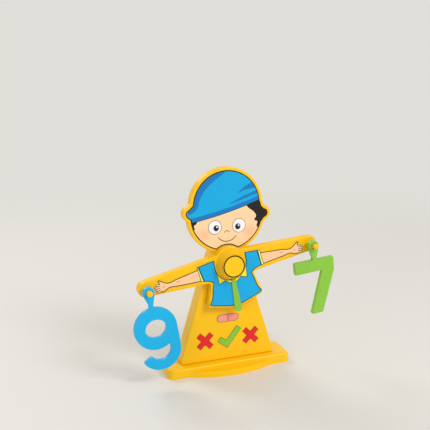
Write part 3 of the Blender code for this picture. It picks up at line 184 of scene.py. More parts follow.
def moulded_surface():
    """Slight flow marks in the colour, a fine texture from the mould, and dull patches from handling."""
    group = bpy.data.node_groups.new("moulded surface", "ShaderNodeTree")
    sockets = group.interface
    sockets.new_socket("Colour", in_out="INPUT", socket_type="NodeSocketColor")
    for name, value in (("Flow", 0.06), ("Gloss", 0.3), ("Dulling", 0.12), ("Grain", 900.0)):
        socket = sockets.new_socket(name, in_out="INPUT", socket_type="NodeSocketFloat")
        socket.default_value = value
    sockets.new_socket("Colour", in_out="OUTPUT", socket_type="NodeSocketColor")
    sockets.new_socket("Roughness", in_out="OUTPUT", socket_type="NodeSocketFloat")
    sockets.new_socket("Height", in_out="OUTPUT", socket_type="NodeSocketFloat")
    made, link = group.nodes.new, group.links.new
    given = made("NodeGroupInput")
    result = made("NodeGroupOutput")
    place = made("ShaderNodeTexCoord")

    streaks = made("ShaderNodeMapping")
    streaks.inputs["Scale"].default_value = (12.0, 12.0, 7.0)
    flow = made("ShaderNodeTexNoise")
    flow.inputs["Scale"].default_value = 1.0
    flow.inputs["Detail"].default_value = 2.0
    flow.inputs["Distortion"].default_value = 0.4
    link(place.outputs["Object"], streaks.inputs["Vector"])
    link(streaks.outputs[0], flow.inputs["Vector"])
    low = made("ShaderNodeMath")
    low.operation = "SUBTRACT"
    low.inputs[0].default_value = 1.0
    high = made("ShaderNodeMath")
    high.operation = "ADD"
    high.inputs[0].default_value = 1.0
    link(given.outputs["Flow"], low.inputs[1])
    link(given.outputs["Flow"], high.inputs[1])
    light = made("ShaderNodeMapRange")
    light.inputs["From Min"].default_value = 0.3
    light.inputs["From Max"].default_value = 0.7
    link(flow.outputs["Fac"], light.inputs["Value"])
    link(low.outputs[0], light.inputs["To Min"])
    link(high.outputs[0], light.inputs["To Max"])
    tint = made("ShaderNodeHueSaturation")
    link(given.outputs["Colour"], tint.inputs["Color"])
    link(light.outputs[0], tint.inputs["Value"])
    link(tint.outputs[0], result.inputs["Colour"])

    patches = made("ShaderNodeTexNoise")
    patches.inputs["Scale"].default_value = 45.0
    patches.inputs["Detail"].default_value = 5.0
    patches.inputs["Roughness"].default_value = 0.65
    link(place.outputs["Object"], patches.inputs["Vector"])
    worn = made("ShaderNodeMapRange")
    worn.inputs["From Min"].default_value = 0.45
    worn.inputs["From Max"].default_value = 0.75
    link(patches.outputs["Fac"], worn.inputs["Value"])
    dulled = made("ShaderNodeMath")
    dulled.operation = "MULTIPLY_ADD"
    link(worn.outputs[0], dulled.inputs[0])
    link(given.outputs["Dulling"], dulled.inputs[1])
    link(given.outputs["Gloss"], dulled.inputs[2])
    link(dulled.outputs[0], result.inputs["Roughness"])

    grain = made("ShaderNodeTexNoise")
    grain.inputs["Detail"].default_value = 2.0
    link(place.outputs["Object"], grain.inputs["Vector"])
    link(given.outputs["Grain"], grain.inputs["Scale"])
    ripple = made("ShaderNodeTexNoise")
    ripple.inputs["Scale"].default_value = 70.0
    ripple.inputs["Detail"].default_value = 1.0
    link(place.outputs["Object"], ripple.inputs["Vector"])
    height = made("ShaderNodeMath")
    height.operation = "MULTIPLY_ADD"
    height.inputs[1].default_value = 4.0
    link(ripple.outputs["Fac"], height.inputs[0])
    link(grain.outputs["Fac"], height.inputs[2])
    link(height.outputs[0], result.inputs["Height"])
    return group


MOULDED = moulded_surface()


def plastic(name, colour, gloss=0.3, flow=0.035, dulling=0.12, coat=0.04):
    """A coloured moulding compound with the mould's surface."""
    material = bpy.data.materials.new(name)
    material.use_nodes = True
    tree = material.node_tree
    shader = tree.nodes["Principled BSDF"]
    shader.inputs["IOR"].default_value = 1.46
    shader.inputs["Specular IOR Level"].default_value = 0.32
    shader.inputs["Coat Weight"].default_value = coat
    shader.inputs["Coat Roughness"].default_value = 0.12
    finish = tree.nodes.new("ShaderNodeGroup")
    finish.node_tree = MOULDED
    finish.inputs["Colour"].default_value = colour
    finish.inputs["Gloss"].default_value = gloss
    finish.inputs["Flow"].default_value = flow
    finish.inputs["Dulling"].default_value = dulling
    bump = tree.nodes.new("ShaderNodeBump")
    bump.inputs["Strength"].default_value = 0.09
    bump.inputs["Distance"].default_value = 0.0001
    tree.links.new(finish.outputs["Colour"], shader.inputs["Base Color"])
    tree.links.new(finish.outputs["Roughness"], shader.inputs["Roughness"])
    tree.links.new(finish.outputs["Height"], bump.inputs["Height"])
    tree.links.new(bump.outputs[0], shader.inputs["Normal"])
    return material


def choose(*pieces):
    bpy.ops.object.select_all(action="DESELECT")
    for piece in pieces:
        piece.select_set(True)
    bpy.context.view_layer.objects.active = pieces[0]


def apply_new(piece, kind, **settings):
    """Adds a modifier and applies it."""
    choose(piece)
    bpy.ops.object.modifier_add(type=kind)
    modifier = piece.modifiers[-1]
    for name, value in settings.items():
        setattr(modifier, name, value)
    bpy.ops.object.modifier_apply(modifier=modifier.name)


def finish_nodes(material, *names):
    """Gives pieces their material."""
    for name in names:
        node = nodes[name]
        node.data.materials.clear()
        node.data.materials.append(material)


def stands_for(piece, name):
    """Shows a piece in a node's place, on the node's body."""
    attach(piece, body_of(nodes[name])[0])
    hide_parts(name)


def smooth_mouldings(material, *names, added=None):
    """Mouldings whose round surfaces look round up to their edges. A form to add becomes part of them."""
    for name in names:
        piece = bpy.data.objects.new(name + "_moulding", nodes[name].data.copy())
        scene.collection.objects.link(piece)
        choose(piece)
        bpy.ops.object.mode_set(mode="EDIT")
        bpy.ops.mesh.select_all(action="SELECT")
        bpy.ops.mesh.remove_doubles(threshold=WELD)
        bpy.ops.object.mode_set(mode="OBJECT")
        bpy.ops.mesh.customdata_custom_splitnormals_clear()
        if added:
            apply_new(piece, "BOOLEAN", operation="UNION", solver="EXACT", object=added)
            bpy.data.objects.remove(added)
        bpy.ops.object.shade_smooth_by_angle(angle=SMOOTH_UP_TO)
        apply_new(piece, "WEIGHTED_NORMAL", keep_sharp=True, weight=90)
        piece.data.materials.clear()
        piece.data.materials.append(material)
        stands_for(piece, name)


yellow = plastic("yellow plastic", YELLOW)
smooth_mouldings(
    yellow, "foot", "stand_front", "stand_cover", "head_cover", "beam_front", "beam_back", "pivot_cap")

# The digits and the pointer: the 9 in blue and the 7 in green, each with a stem that widens up to the ring
# that hangs on a peg, and a green strip pressed into the shirt with two studs. All are glossier mouldings.

BLUE = (0.004, 0.44, 0.80, 1.0)
GREEN = (0.25, 0.55, 0.05, 1.0)
STEM_WIDTH = 0.0072
STEM_FLARE = 0.0172
FLARE_TOP = 0.0041
FLARE_FOOT = 0.0205
FLARE_SET_BACK = 0.0004
RING_DROP = 0.00145
RING_CLEARING = 0.006
NINE_LEAN = 9.5
SEVEN_LEAN = 5.8


def middle_of(name):
    low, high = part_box(name)
    return (low[0] + high[0]) / 2, (low[2] + high[2]) / 2


def depths_of(name):
    low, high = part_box(name)
    return -high[1], -low[1]


def stem_flare(name, peg, lean):
    """The web that widens a digit's stem up to its ring, a little thinner than the digit."""
    rear, front = depths_of(name)
    thickness = front - rear - 2 * FLARE_SET_BACK
    height = FLARE_FOOT - FLARE_TOP
    bpy.ops.object.select_all(action="DESELECT")
    bpy.ops.mesh.primitive_cube_add(size=1, location=(0, 0, -(FLARE_TOP + FLARE_FOOT) / 2))
    flare = bpy.context.object
    flare.scale = (STEM_WIDTH, thickness, height)
    bpy.ops.object.transform_apply(location=True, rotation=True, scale=True)
    bpy.ops.object.mode_set(mode="EDIT")
    bpy.ops.mesh.select_mode(type="VERT")
    bpy.ops.mesh.select_all(action="DESELECT")
    bpy.ops.object.mode_set(mode="OBJECT")
    for vertex in flare.data.vertices:
        vertex.select = vertex.co.z > -FLARE_TOP - height / 2
    bpy.ops.object.mode_set(mode="EDIT")
    bpy.ops.transform.resize(value=(STEM_FLARE / STEM_WIDTH, 1, 1), center_override=(0, 0, -FLARE_TOP))
    bpy.ops.object.mode_set(mode="OBJECT")
    bpy.ops.object.select_all(action="DESELECT")
    bpy.ops.mesh.primitive_cylinder_add(
        vertices=48, radius=RING_CLEARING, depth=2 * thickness, location=(0, 0, -RING_DROP),
        rotation=(math.pi / 2, 0, 0))
    ring_cutter = bpy.context.object
    apply_new(flare, "BOOLEAN", operation="DIFFERENCE", solver="EXACT", object=ring_cutter)
    bpy.data.objects.remove(ring_cutter)
    x, z = middle_of(peg)
    flare.matrix_world = (
        Matrix.Translation((x, -(rear + front) / 2, z)) @ Matrix.Rotation(math.radians(-lean), 4, "Y"))
    return flare


blue = plastic("blue plastic", BLUE, gloss=0.26)
green = plastic("green plastic", GREEN, gloss=0.26)
smooth_mouldings(blue, "digit_nine", added=stem_flare("digit_nine", "peg_left", NINE_LEAN))
smooth_mouldings(green, "digit_seven", added=stem_flare("digit_seven", "peg_right", SEVEN_LEAN))
smooth_mouldings(green, "pointer")

# The pivot and the fasteners: a steel pin with its clip, a white bush and washer of slippery plastic, and
# zinc-plated screws that hold the three covers on from behind.


def metal(name, colour, rough):
    """Bare metal with fine turning marks and dull patches."""
    material = bpy.data.materials.new(name)
    material.use_nodes = True
    tree = material.node_tree
    shader = tree.nodes["Principled BSDF"]
    shader.inputs["Metallic"].default_value = 1.0
    finish = tree.nodes.new("ShaderNodeGroup")
    finish.node_tree = MOULDED
    finish.inputs["Colour"].default_value = colour
    finish.inputs["Gloss"].default_value = rough
    finish.inputs["Flow"].default_value = 0.12
    finish.inputs["Dulling"].default_value = 0.2
    finish.inputs["Grain"].default_value = 2500.0
    bump = tree.nodes.new("ShaderNodeBump")
    bump.inputs["Strength"].default_value = 0.15
    bump.inputs["Distance"].default_value = 0.00005
    tree.links.new(finish.outputs["Colour"], shader.inputs["Base Color"])
    tree.links.new(finish.outputs["Roughness"], shader.inputs["Roughness"])
    tree.links.new(finish.outputs["Height"], bump.inputs["Height"])
    tree.links.new(bump.outputs[0], shader.inputs["Normal"])
    return material


def turned(name, place, rings, material, vertices=48):
    """A round piece with its axis to the front, drawn as rings of radius and depth from behind forwards."""
    x, z = place
    radius, depth = rings[0]
    bpy.ops.object.select_all(action="DESELECT")
    bpy.ops.mesh.primitive_circle_add(
        vertices=vertices, radius=radius, fill_type="NGON", location=(x, -depth, z),
        rotation=(math.pi / 2, 0, 0))
    piece = bpy.context.object
    piece.name = name
    bpy.ops.object.mode_set(mode="EDIT")
    bpy.ops.mesh.select_all(action="SELECT")
    for next_radius, next_depth in rings[1:]:
        bpy.ops.mesh.extrude_region_move(TRANSFORM_OT_translate={"value": (0, depth - next_depth, 0)})
        scale = next_radius / radius
        bpy.ops.transform.resize(value=(scale, scale, scale), center_override=(x, -next_depth, z))
        radius, depth = next_radius, next_depth
    bpy.ops.mesh.select_all(action="SELECT")
    bpy.ops.mesh.normals_make_consistent(inside=False)
    bpy.ops.object.mode_set(mode="OBJECT")
    bpy.ops.object.transform_apply(location=True, rotation=True, scale=True)
    bpy.ops.object.shade_smooth_by_angle(angle=SMOOTH_UP_TO)
    piece.data.materials.append(material)
    return piece


steel = metal("bright steel", (0.62, 0.62, 0.63, 1.0), 0.24)
zinc = metal("zinc plate", (0.50, 0.51, 0.54, 1.0), 0.3)
finish_nodes(steel, "retaining_clip")
smooth_mouldings(steel, "pivot_pin")
smooth_mouldings(
    plastic("white plastic", (0.82, 0.82, 0.79, 1.0), gloss=0.42, flow=0.03, coat=0.0),
    "bearing_bush", "spacer_washer")

HEAD_RADIUS = 0.0028
HEAD_THICKNESS = 0.0018
CROWN_RADIUS = 0.0020
CROWN_SHOULDER = 0.00255
SHOULDER_DEPTH = 0.00025
CROWN_DEPTH = 0.00065
SHANK_RADIUS = 0.0014
TIP_RADIUS = 0.00014
RECESS_LENGTH = 0.00322
RECESS_WIDTH = 0.000672
RECESS_DEPTH = 0.00117
RECESS_TURN = 20
for node in [name for name in nodes if "_screw_" in name]:
    rear, front = depths_of(node)
    x, z = middle_of(node)
    neck = rear + HEAD_THICKNESS
    screw = turned(node + "_cross_head", (x, z), [
        (CROWN_RADIUS, rear), (CROWN_SHOULDER, rear + SHOULDER_DEPTH), (HEAD_RADIUS, rear + CROWN_DEPTH),
        (HEAD_RADIUS, neck), (SHANK_RADIUS, neck),
        (SHANK_RADIUS, front - SHANK_RADIUS), (TIP_RADIUS, front)], zinc, 32)
    for turn in (RECESS_TURN, RECESS_TURN + 90):
        bpy.ops.object.select_all(action="DESELECT")
        bpy.ops.mesh.primitive_cube_add(size=1, location=(x, -rear, z), rotation=(0, math.radians(turn), 0))
        slot_cutter = bpy.context.object
        slot_cutter.scale = (RECESS_LENGTH, 2 * RECESS_DEPTH, RECESS_WIDTH)
        bpy.ops.object.transform_apply(location=True, rotation=True, scale=True)
        apply_new(screw, "BOOLEAN", operation="DIFFERENCE", solver="EXACT", object=slot_cutter)
        bpy.data.objects.remove(slot_cutter)
    stands_for(screw, node)

# The two pegs at the hands: yellow moulded pins with rounded heads that keep the digits' rings on. Each comes
# out through the face of the beam, and its wide root is held between the face and the rear plate.

PEG_RADIUS = 0.00325
PEG_HEAD_RADIUS = 0.0044
PEG_HEAD = 0.003
PEG_HEAD_ROUND = 0.001
PEG_ROUND_REACH = 0.0003
PEG_ROUND_RISE = 0.0006
PEG_ROOT_RADIUS = 0.0059
PEG_ROOT = 0.0074
for node in ("peg_left", "peg_right"):
    rear, front = depths_of(node)
    root = rear + PEG_ROOT
    head = front - PEG_HEAD
    peg = turned(node + "_round", middle_of(node), [
        (PEG_ROOT_RADIUS, rear), (PEG_ROOT_RADIUS, root), (PEG_RADIUS, root), (PEG_RADIUS, head),
        (PEG_HEAD_RADIUS - PEG_ROUND_REACH, head + PEG_ROUND_RISE),
        (PEG_HEAD_RADIUS, head + PEG_HEAD_ROUND), (PEG_HEAD_RADIUS, front - PEG_HEAD_ROUND),
        (PEG_HEAD_RADIUS - PEG_ROUND_REACH, front - PEG_HEAD_ROUND + PEG_ROUND_RISE),
        (PEG_HEAD_RADIUS - PEG_HEAD_ROUND, front)], yellow)
    stands_for(peg, node)

# The printed face: a thin plastic sheet, glued into a recess in the front of the head and printed in flat
# inks, with a dark rim. Each ink is a thin layer of its own shape over the one before: skin, hair, cap,
# eyes, nose and mouth.

MM = 0.001
PIVOT = Vector((0, 0, 0.178))
INK = 0.00004
FACE_DEPTH = depths_of("head_print")[1]
FACE_RIM = 0.0015
FRONT_FACING = -0.9
FLAT_UP_TO = math.radians(0.5)
KNIFE_LENGTH = 0.08


def printed_surface():
    """The faint mottle of ink on a sheet, and the slight waviness of its film."""
    group = bpy.data.node_groups.new("printed surface", "ShaderNodeTree")
    sockets = group.interface
    sockets.new_socket("Colour", in_out="INPUT", socket_type="NodeSocketColor")
    mottle = sockets.new_socket("Mottle", in_out="INPUT", socket_type="NodeSocketFloat")
    mottle.default_value = 0.03
    sockets.new_socket("Colour", in_out="OUTPUT", socket_type="NodeSocketColor")
    sockets.new_socket("Roughness", in_out="OUTPUT", socket_type="NodeSocketFloat")
    sockets.new_socket("Height", in_out="OUTPUT", socket_type="NodeSocketFloat")
    made, link = group.nodes.new, group.links.new
    given = made("NodeGroupInput")
    result = made("NodeGroupOutput")
    place = made("ShaderNodeTexCoord")
    specks = made("ShaderNodeTexNoise")
    specks.inputs["Scale"].default_value = 1600.0
    specks.inputs["Detail"].default_value = 3.0
    cloud = made("ShaderNodeTexNoise")
    cloud.inputs["Scale"].default_value = 38.0
    cloud.inputs["Detail"].default_value = 3.0
    link(place.outputs["Object"], specks.inputs["Vector"])
    link(place.outputs["Object"], cloud.inputs["Vector"])
    both = made("ShaderNodeMath")
    both.operation = "ADD"
    link(specks.outputs["Fac"], both.inputs[0])
    link(cloud.outputs["Fac"], both.inputs[1])
    centred = made("ShaderNodeMath")
    centred.operation = "SUBTRACT"
    centred.inputs[1].default_value = 1.0
    link(both.outputs[0], centred.inputs[0])
    share = made("ShaderNodeMath")
    share.operation = "MULTIPLY_ADD"
    share.inputs[2].default_value = 1.0
    link(centred.outputs[0], share.inputs[0])
    link(given.outputs["Mottle"], share.inputs[1])
    tint = made("ShaderNodeHueSaturation")
    link(given.outputs["Colour"], tint.inputs["Color"])
    link(share.outputs[0], tint.inputs["Value"])
    link(tint.outputs[0], result.inputs["Colour"])
    rough = made("ShaderNodeMapRange")
    rough.inputs["To Min"].default_value = 0.3
    rough.inputs["To Max"].default_value = 0.48
    link(cloud.outputs["Fac"], rough.inputs["Value"])
    link(rough.outputs[0], result.inputs["Roughness"])
    link(cloud.outputs["Fac"], result.inputs["Height"])
    return group


PRINTED = printed_surface()


def ink(name, colour, blush=None):
    """A printing ink on film. A blush is a second colour that clouds it round two places, left and right."""
    material = bpy.data.materials.new(name)
    material.use_nodes = True
    tree = material.node_tree
    shader = tree.nodes["Principled BSDF"]
    shader.inputs["Specular IOR Level"].default_value = 0.22
    shader.inputs["Coat Weight"].default_value = 0.03
    shader.inputs["Coat Roughness"].default_value = 0.18
    surface = tree.nodes.new("ShaderNodeGroup")
    surface.node_tree = PRINTED
    surface.inputs["Colour"].default_value = (*colour, 1.0)
    bump = tree.nodes.new("ShaderNodeBump")
    bump.inputs["Strength"].default_value = 0.25
    bump.inputs["Distance"].default_value = 0.0002
    tree.links.new(surface.outputs["Colour"], shader.inputs["Base Color"])
    tree.links.new(surface.outputs["Roughness"], shader.inputs["Roughness"])
    tree.links.new(surface.outputs["Height"], bump.inputs["Height"])
    tree.links.new(bump.outputs[0], shader.inputs["Normal"])
    if blush:
        second, (reach, rise), radius = blush
        place = tree.nodes.new("ShaderNodeTexCoord")
        parts = tree.nodes.new("ShaderNodeSeparateXYZ")
        side = tree.nodes.new("ShaderNodeMath")
        side.operation = "ABSOLUTE"
        together = tree.nodes.new("ShaderNodeCombineXYZ")
        away = tree.nodes.new("ShaderNodeVectorMath")
        away.operation = "DISTANCE"
        away.inputs[1].default_value = (reach * MM, 0, PIVOT.z + rise * MM)
        cloud = tree.nodes.new("ShaderNodeMapRange")
        cloud.interpolation_type = "SMOOTHERSTEP"
        cloud.inputs["From Min"].default_value = radius * MM
        cloud.inputs["From Max"].default_value = 0.0
        blend = tree.nodes.new("ShaderNodeMix")
        blend.data_type = "RGBA"
        blend.inputs["A"].default_value = (*colour, 1.0)
        blend.inputs["B"].default_value = (*second, 1.0)
        tree.links.new(place.outputs["Object"], parts.inputs[0])
        tree.links.new(parts.outputs["X"], side.inputs[0])
        tree.links.new(side.outputs[0], together.inputs["X"])
        tree.links.new(parts.outputs["Z"], together.inputs["Z"])
        tree.links.new(together.outputs[0], away.inputs[0])
        tree.links.new(away.outputs["Value"], cloud.inputs["Value"])
        tree.links.new(cloud.outputs[0], blend.inputs["Factor"])
        tree.links.new(blend.outputs["Result"], surface.inputs["Colour"])
    return material


def sheet_front(name, rim):
    """The front of a sheet without its rim, as a layer of ink on it."""
    source = nodes[name]
    front = bpy.data.objects.new(name + " front", source.data.copy())
    scene.collection.objects.link(front)
    front.data.materials.clear()
    choose(front)
    bpy.ops.object.mode_set(mode="EDIT")
    bpy.ops.mesh.select_mode(type="FACE")
    bpy.ops.mesh.select_all(action="SELECT")
    bpy.ops.mesh.remove_doubles(threshold=WELD)
    bpy.ops.mesh.select_all(action="DESELECT")
    bpy.ops.object.mode_set(mode="OBJECT")
    for face in front.data.polygons:
        face.select = face.normal.y > FRONT_FACING
    bpy.ops.object.mode_set(mode="EDIT")
    bpy.ops.mesh.delete(type="FACE")
    bpy.ops.mesh.select_all(action="SELECT")
    bpy.ops.mesh.dissolve_limited(angle_limit=FLAT_UP_TO)
    bpy.ops.mesh.select_all(action="SELECT")
    bpy.ops.mesh.inset(thickness=rim, depth=0, use_even_offset=True, use_boundary=True)
    bpy.ops.mesh.select_all(action="INVERT")
    bpy.ops.mesh.delete(type="FACE")
    bpy.ops.object.mode_set(mode="OBJECT")
    return thickened(front, INK)


def thickened(piece, thickness):
    apply_new(piece, "SOLIDIFY", thickness=thickness, offset=1.0)
    return piece


def place_drawing(piece, tilt, depth):
    """Stands a drawing up to face the front, at a depth, turned about the pivot."""
    piece.matrix_world = (
        Matrix.Translation(PIVOT) @ Matrix.Rotation(math.radians(-tilt), 4, "Y")
        @ Matrix.Rotation(math.radians(90), 4, "X") @ Matrix.Translation((0, 0, depth)))
    choose(piece)
    bpy.ops.object.transform_apply(location=True, rotation=True, scale=True)
    return piece


def drawn_area(name, outline, tilt, depth, thickness=INK):
    """A closed outline in millimetres round the pivot, filled. A third value of a point makes it a corner."""
    bpy.ops.object.select_all(action="DESELECT")
    bpy.ops.curve.primitive_bezier_circle_add(radius=MM)
    area = bpy.context.object
    area.name = name
    curve = area.data
    curve.dimensions = "2D"
    curve.fill_mode = "BOTH"
    curve.resolution_u = 8
    spline = curve.splines[0]
    spline.bezier_points.add(len(outline) - len(spline.bezier_points))
    for knot, point in zip(spline.bezier_points, outline):
        kind = "VECTOR" if len(point) == 3 else "AUTO"
        knot.co = (point[0] * MM, point[1] * MM, 0)
        knot.handle_left_type = kind
        knot.handle_right_type = kind
    bpy.ops.object.convert(target="MESH")
    area = bpy.context.object
    bpy.ops.object.mode_set(mode="EDIT")
    bpy.ops.mesh.select_all(action="SELECT")
    bpy.ops.mesh.remove_doubles(threshold=WELD)
    bpy.ops.object.mode_set(mode="OBJECT")
    place_drawing(area, tilt, depth)
    if area.data.polygons[0].normal.y > 0:
        bpy.ops.object.mode_set(mode="EDIT")
        bpy.ops.mesh.flip_normals()
        bpy.ops.object.mode_set(mode="OBJECT")
    return thickened(area, thickness)


def drawn_line(name, path, width, tilt, depth, ends=0.35):
    """A pen line in millimetres round the pivot, thinner at its ends by a share of its width."""
    bpy.ops.object.select_all(action="DESELECT")
    bpy.ops.curve.primitive_bezier_curve_add(radius=MM)
    line = bpy.context.object
    line.name = name
    curve = line.data
    curve.dimensions = "3D"
    curve.resolution_u = 8
    curve.bevel_depth = width * MM / 2
    curve.bevel_resolution = 2
    curve.use_fill_caps = True
    spline = curve.splines[0]
    spline.bezier_points.add(len(path) - len(spline.bezier_points))
    last = len(path) - 1
    for index, (knot, point) in enumerate(zip(spline.bezier_points, path)):
        kind = "VECTOR" if len(point) == 3 else "AUTO"
        knot.co = (point[0] * MM, point[1] * MM, 0)
        knot.handle_left_type = kind
        knot.handle_right_type = kind
        knot.radius = ends if index in (0, last) else 1.0
    bpy.ops.object.convert(target="MESH")
    line = bpy.context.object
    bpy.ops.object.mode_set(mode="EDIT")
    bpy.ops.mesh.select_all(action="SELECT")
    bpy.ops.transform.resize(value=(1, 1, 2 * INK / (width * MM)))
    bpy.ops.object.mode_set(mode="OBJECT")
    return place_drawing(line, tilt, depth)


def within(name, field, outline, tilt, layer):
    """The part of a layer that lies in an outline, laid some layers higher."""
    area = bpy.data.objects.new(name, field.data.copy())
    scene.collection.objects.link(area)
    knife = drawn_area(name + " knife", outline, tilt, 0.0, KNIFE_LENGTH)
    apply_new(area, "BOOLEAN", operation="INTERSECT", solver="EXACT", object=knife)
    bpy.data.objects.remove(knife)
    choose(area)
    bpy.ops.object.mode_set(mode="EDIT")
    bpy.ops.mesh.select_all(action="SELECT")
    bpy.ops.transform.translate(value=(0, -layer * INK, 0))
    bpy.ops.object.mode_set(mode="OBJECT")
    return area


def oval(x, y, half_width, half_height):
    return [(x - half_width, y), (x, y + half_height), (x + half_width, y), (x, y - half_height)]


def inked(area, material):
    area.data.materials.clear()
    area.data.materials.append(material)
    return area


def as_picture(name, body, areas):
    """Joins the layers of a picture into one piece that rides on a body."""
    choose(*areas)
    bpy.ops.object.join()
    picture = bpy.context.object
    picture.name = name
    picture.data.name = name
    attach(picture, body)
    return picture


line_ink = ink("dark outline ink", (0.020, 0.012, 0.006))
skin_ink = ink("skin ink", (0.98, 0.66, 0.38), blush=((0.98, 0.54, 0.31), (38, 46), 17))
cap_ink = ink("cap ink", (0.005, 0.39, 0.74))
shade_ink = ink("cap shade ink", (0.006, 0.19, 0.52))
hair_ink = ink("hair ink", (0.016, 0.012, 0.014))
white_ink = ink("white ink", (0.9, 0.9, 0.9))
pen_ink = ink("brown pen ink", (0.085, 0.05, 0.035))

BRIM_LINE = 1.0
BAND_HEIGHT = 6.5
EYE_REACH, EYE_RISE = 20, 57
EYE_SIZE = (10.4, 10.6)
EYE_LINE_SIZE = (11.2, 11.4)
PUPIL_REACH, PUPIL_RISE = 18, 55.5
PUPIL_SIZE = (4.5, 4.8)
GLINT_SHIFT = (1.4, 1.8)
GLINT_SIZE = (1.4, 1.5)
NOSE_WIDTH = 1.1
MOUTH_WIDTH = 1.3
STROKE_ENDS = 0.6

finish_nodes(line_ink, "head_print")
face_field = sheet_front("head_print", FACE_RIM)
brim = [(-90, 65), (-58, 67.5), (-30, 72.5), (0, 79.5), (30, 88), (57, 97)]
brim_end = (90, 107, 1)
above = [(90, 190, 1), (-90, 190, 1)]
brim_line = [(x, y - BRIM_LINE) for x, y in brim] + [(90, 105, 1)] + above
band = [(90, 115, 1)] + [(x, y + BAND_HEIGHT) for x, y in reversed(brim)]
hair_right = [
    (90, 110, 1), (30, 92, 1), (36, 84), (45, 77), (49, 70), (46, 64), (51, 61), (50, 54), (57, 48),
    (66, 50), (90, 52, 1)]
hair_left = [
    (-90, 72, 1), (-90, 50, 1), (-66, 51), (-58, 52), (-53, 57), (-54, 62), (-50, 65), (-48, 73, 1)]
face_layers = [
    inked(face_field, skin_ink),
    inked(within("hair right", face_field, hair_right, 0, 1), hair_ink),
    inked(within("hair left", face_field, hair_left, 0, 1), hair_ink),
    inked(within("cap line", face_field, brim_line, 0, 4), line_ink),
    inked(within("cap", face_field, brim + [brim_end] + above, 0, 5), cap_ink),
    inked(within("cap band", face_field, brim + [brim_end] + band, 0, 6), shade_ink),
]
left_shade = [
    (-62, 79, 1), (-49, 88), (-44.5, 101), (-37, 114), (-25, 126), (-10, 137), (8, 149, 1),
    (-20, 165, 1), (-80, 145, 1)]
high_pleat = [(52, 128, 1), (42, 124), (30, 118), (17, 108, 1), (32, 113), (44, 115), (60, 116, 1)]
low_pleat = [(66, 118, 1), (44, 109), (22, 101), (2, 91, 1), (24, 97.5), (46, 104.5), (66, 111, 1)]
for name, fold in (("left shade", left_shade), ("high pleat", high_pleat), ("low pleat", low_pleat)):
    face_layers.append(inked(within("cap " + name, face_field, fold, 0, 6), shade_ink))
for side in (-1, 1):
    eye = (side * EYE_REACH, EYE_RISE)
    pupil = (side * PUPIL_REACH, PUPIL_RISE)
    glint = (pupil[0] + GLINT_SHIFT[0], pupil[1] + GLINT_SHIFT[1])
    face_layers += [
        inked(drawn_area("eye line", oval(*eye, *EYE_LINE_SIZE), 0, FACE_DEPTH + INK), pen_ink),
        inked(drawn_area("eye", oval(*eye, *EYE_SIZE), 0, FACE_DEPTH + 2 * INK), white_ink),
        inked(drawn_area("pupil", oval(*pupil, *PUPIL_SIZE), 0, FACE_DEPTH + 3 * INK), hair_ink),
        inked(drawn_area("glint", oval(*glint, *GLINT_SIZE), 0, FACE_DEPTH + 4 * INK), white_ink),
    ]
nose = [(-4.5, 47.2), (-2.4, 49.4), (0, 50), (2.4, 49.4), (4.5, 47.2)]
mouth = [(-15.5, 42), (-12.5, 38), (-7, 34.6), (0, 33.3), (7, 34.6), (12.5, 38), (15.5, 42)]
face_layers += [
    inked(drawn_line("nose", nose, NOSE_WIDTH, 0, FACE_DEPTH + 1.5 * INK, STROKE_ENDS), pen_ink),
    inked(drawn_line("mouth", mouth, MOUTH_WIDTH, 0, FACE_DEPTH + 1.5 * INK, STROKE_ENDS), pen_ink),
]
as_picture("face_picture", "stand", face_layers)

# The printed shirt and arms: a thin plastic sheet, glued into the front of the beam round the boss, and
# yellow like the beam at its margins. The shirt has cuffs and a collar in pale yellow, and bare forearms
# that end in open hands.

TILT = 9.5
SHIRT_DEPTH = depths_of("body_print")[1]
SHIRT_LINE = 1.5
ARM_LINE = 1.3
FINGER_LINE = 0.6
CUFF_LINE = 1.0
COLLAR_LINE = 1.1
CREASE_WIDTH = 0.7
KNUCKLES = 113
FINGER_HALF_WIDTH = 1.4
FINGER_TIP_LENGTH = 1.6
FINGER_TIP_HALF_WIDTH = 1.5
SHARPEST_CORNER = 0.35

shirt_line = ink("shirt outline ink", (0.0, 0.075, 0.085))
shirt_ink = ink("shirt ink", (0.005, 0.40, 0.77))
cuff_ink = ink("cuff ink", (0.95, 0.86, 0.12))
collar_ink = ink("collar ink", (1.0, 0.88, 0.02))
arm_ink = ink("arm ink", (0.98, 0.59, 0.335))
margin_ink = ink("margin ink", (0.97, 0.57, 0.004))

finish_nodes(margin_ink, "body_print")


def inset_outline(outline, distance):
    """An outline moved inwards, point by point along its own corner's direction."""
    count = len(outline)
    moved = []
    for index, point in enumerate(outline):
        before = Vector(outline[index - 1][:2])
        here = Vector(point[:2])
        after = Vector(outline[(index + 1) % count][:2])
        first = (here - before).normalized()
        second = (after - here).normalized()
        inward = Vector((-first.y - second.y, first.x + second.x))
        half = max(SHARPEST_CORNER, inward.length / 2)
        shift = inward.normalized() * distance / half
        moved.append((here.x + shift.x, here.y + shift.y, *point[2:]))
    return moved


def sided(side, points):
    """Points drawn for the right, on the side asked for, kept in their turning direction."""
    placed = [(side * x, y, *corner) for x, y, *corner in points]
    return placed if side == 1 else placed[::-1]


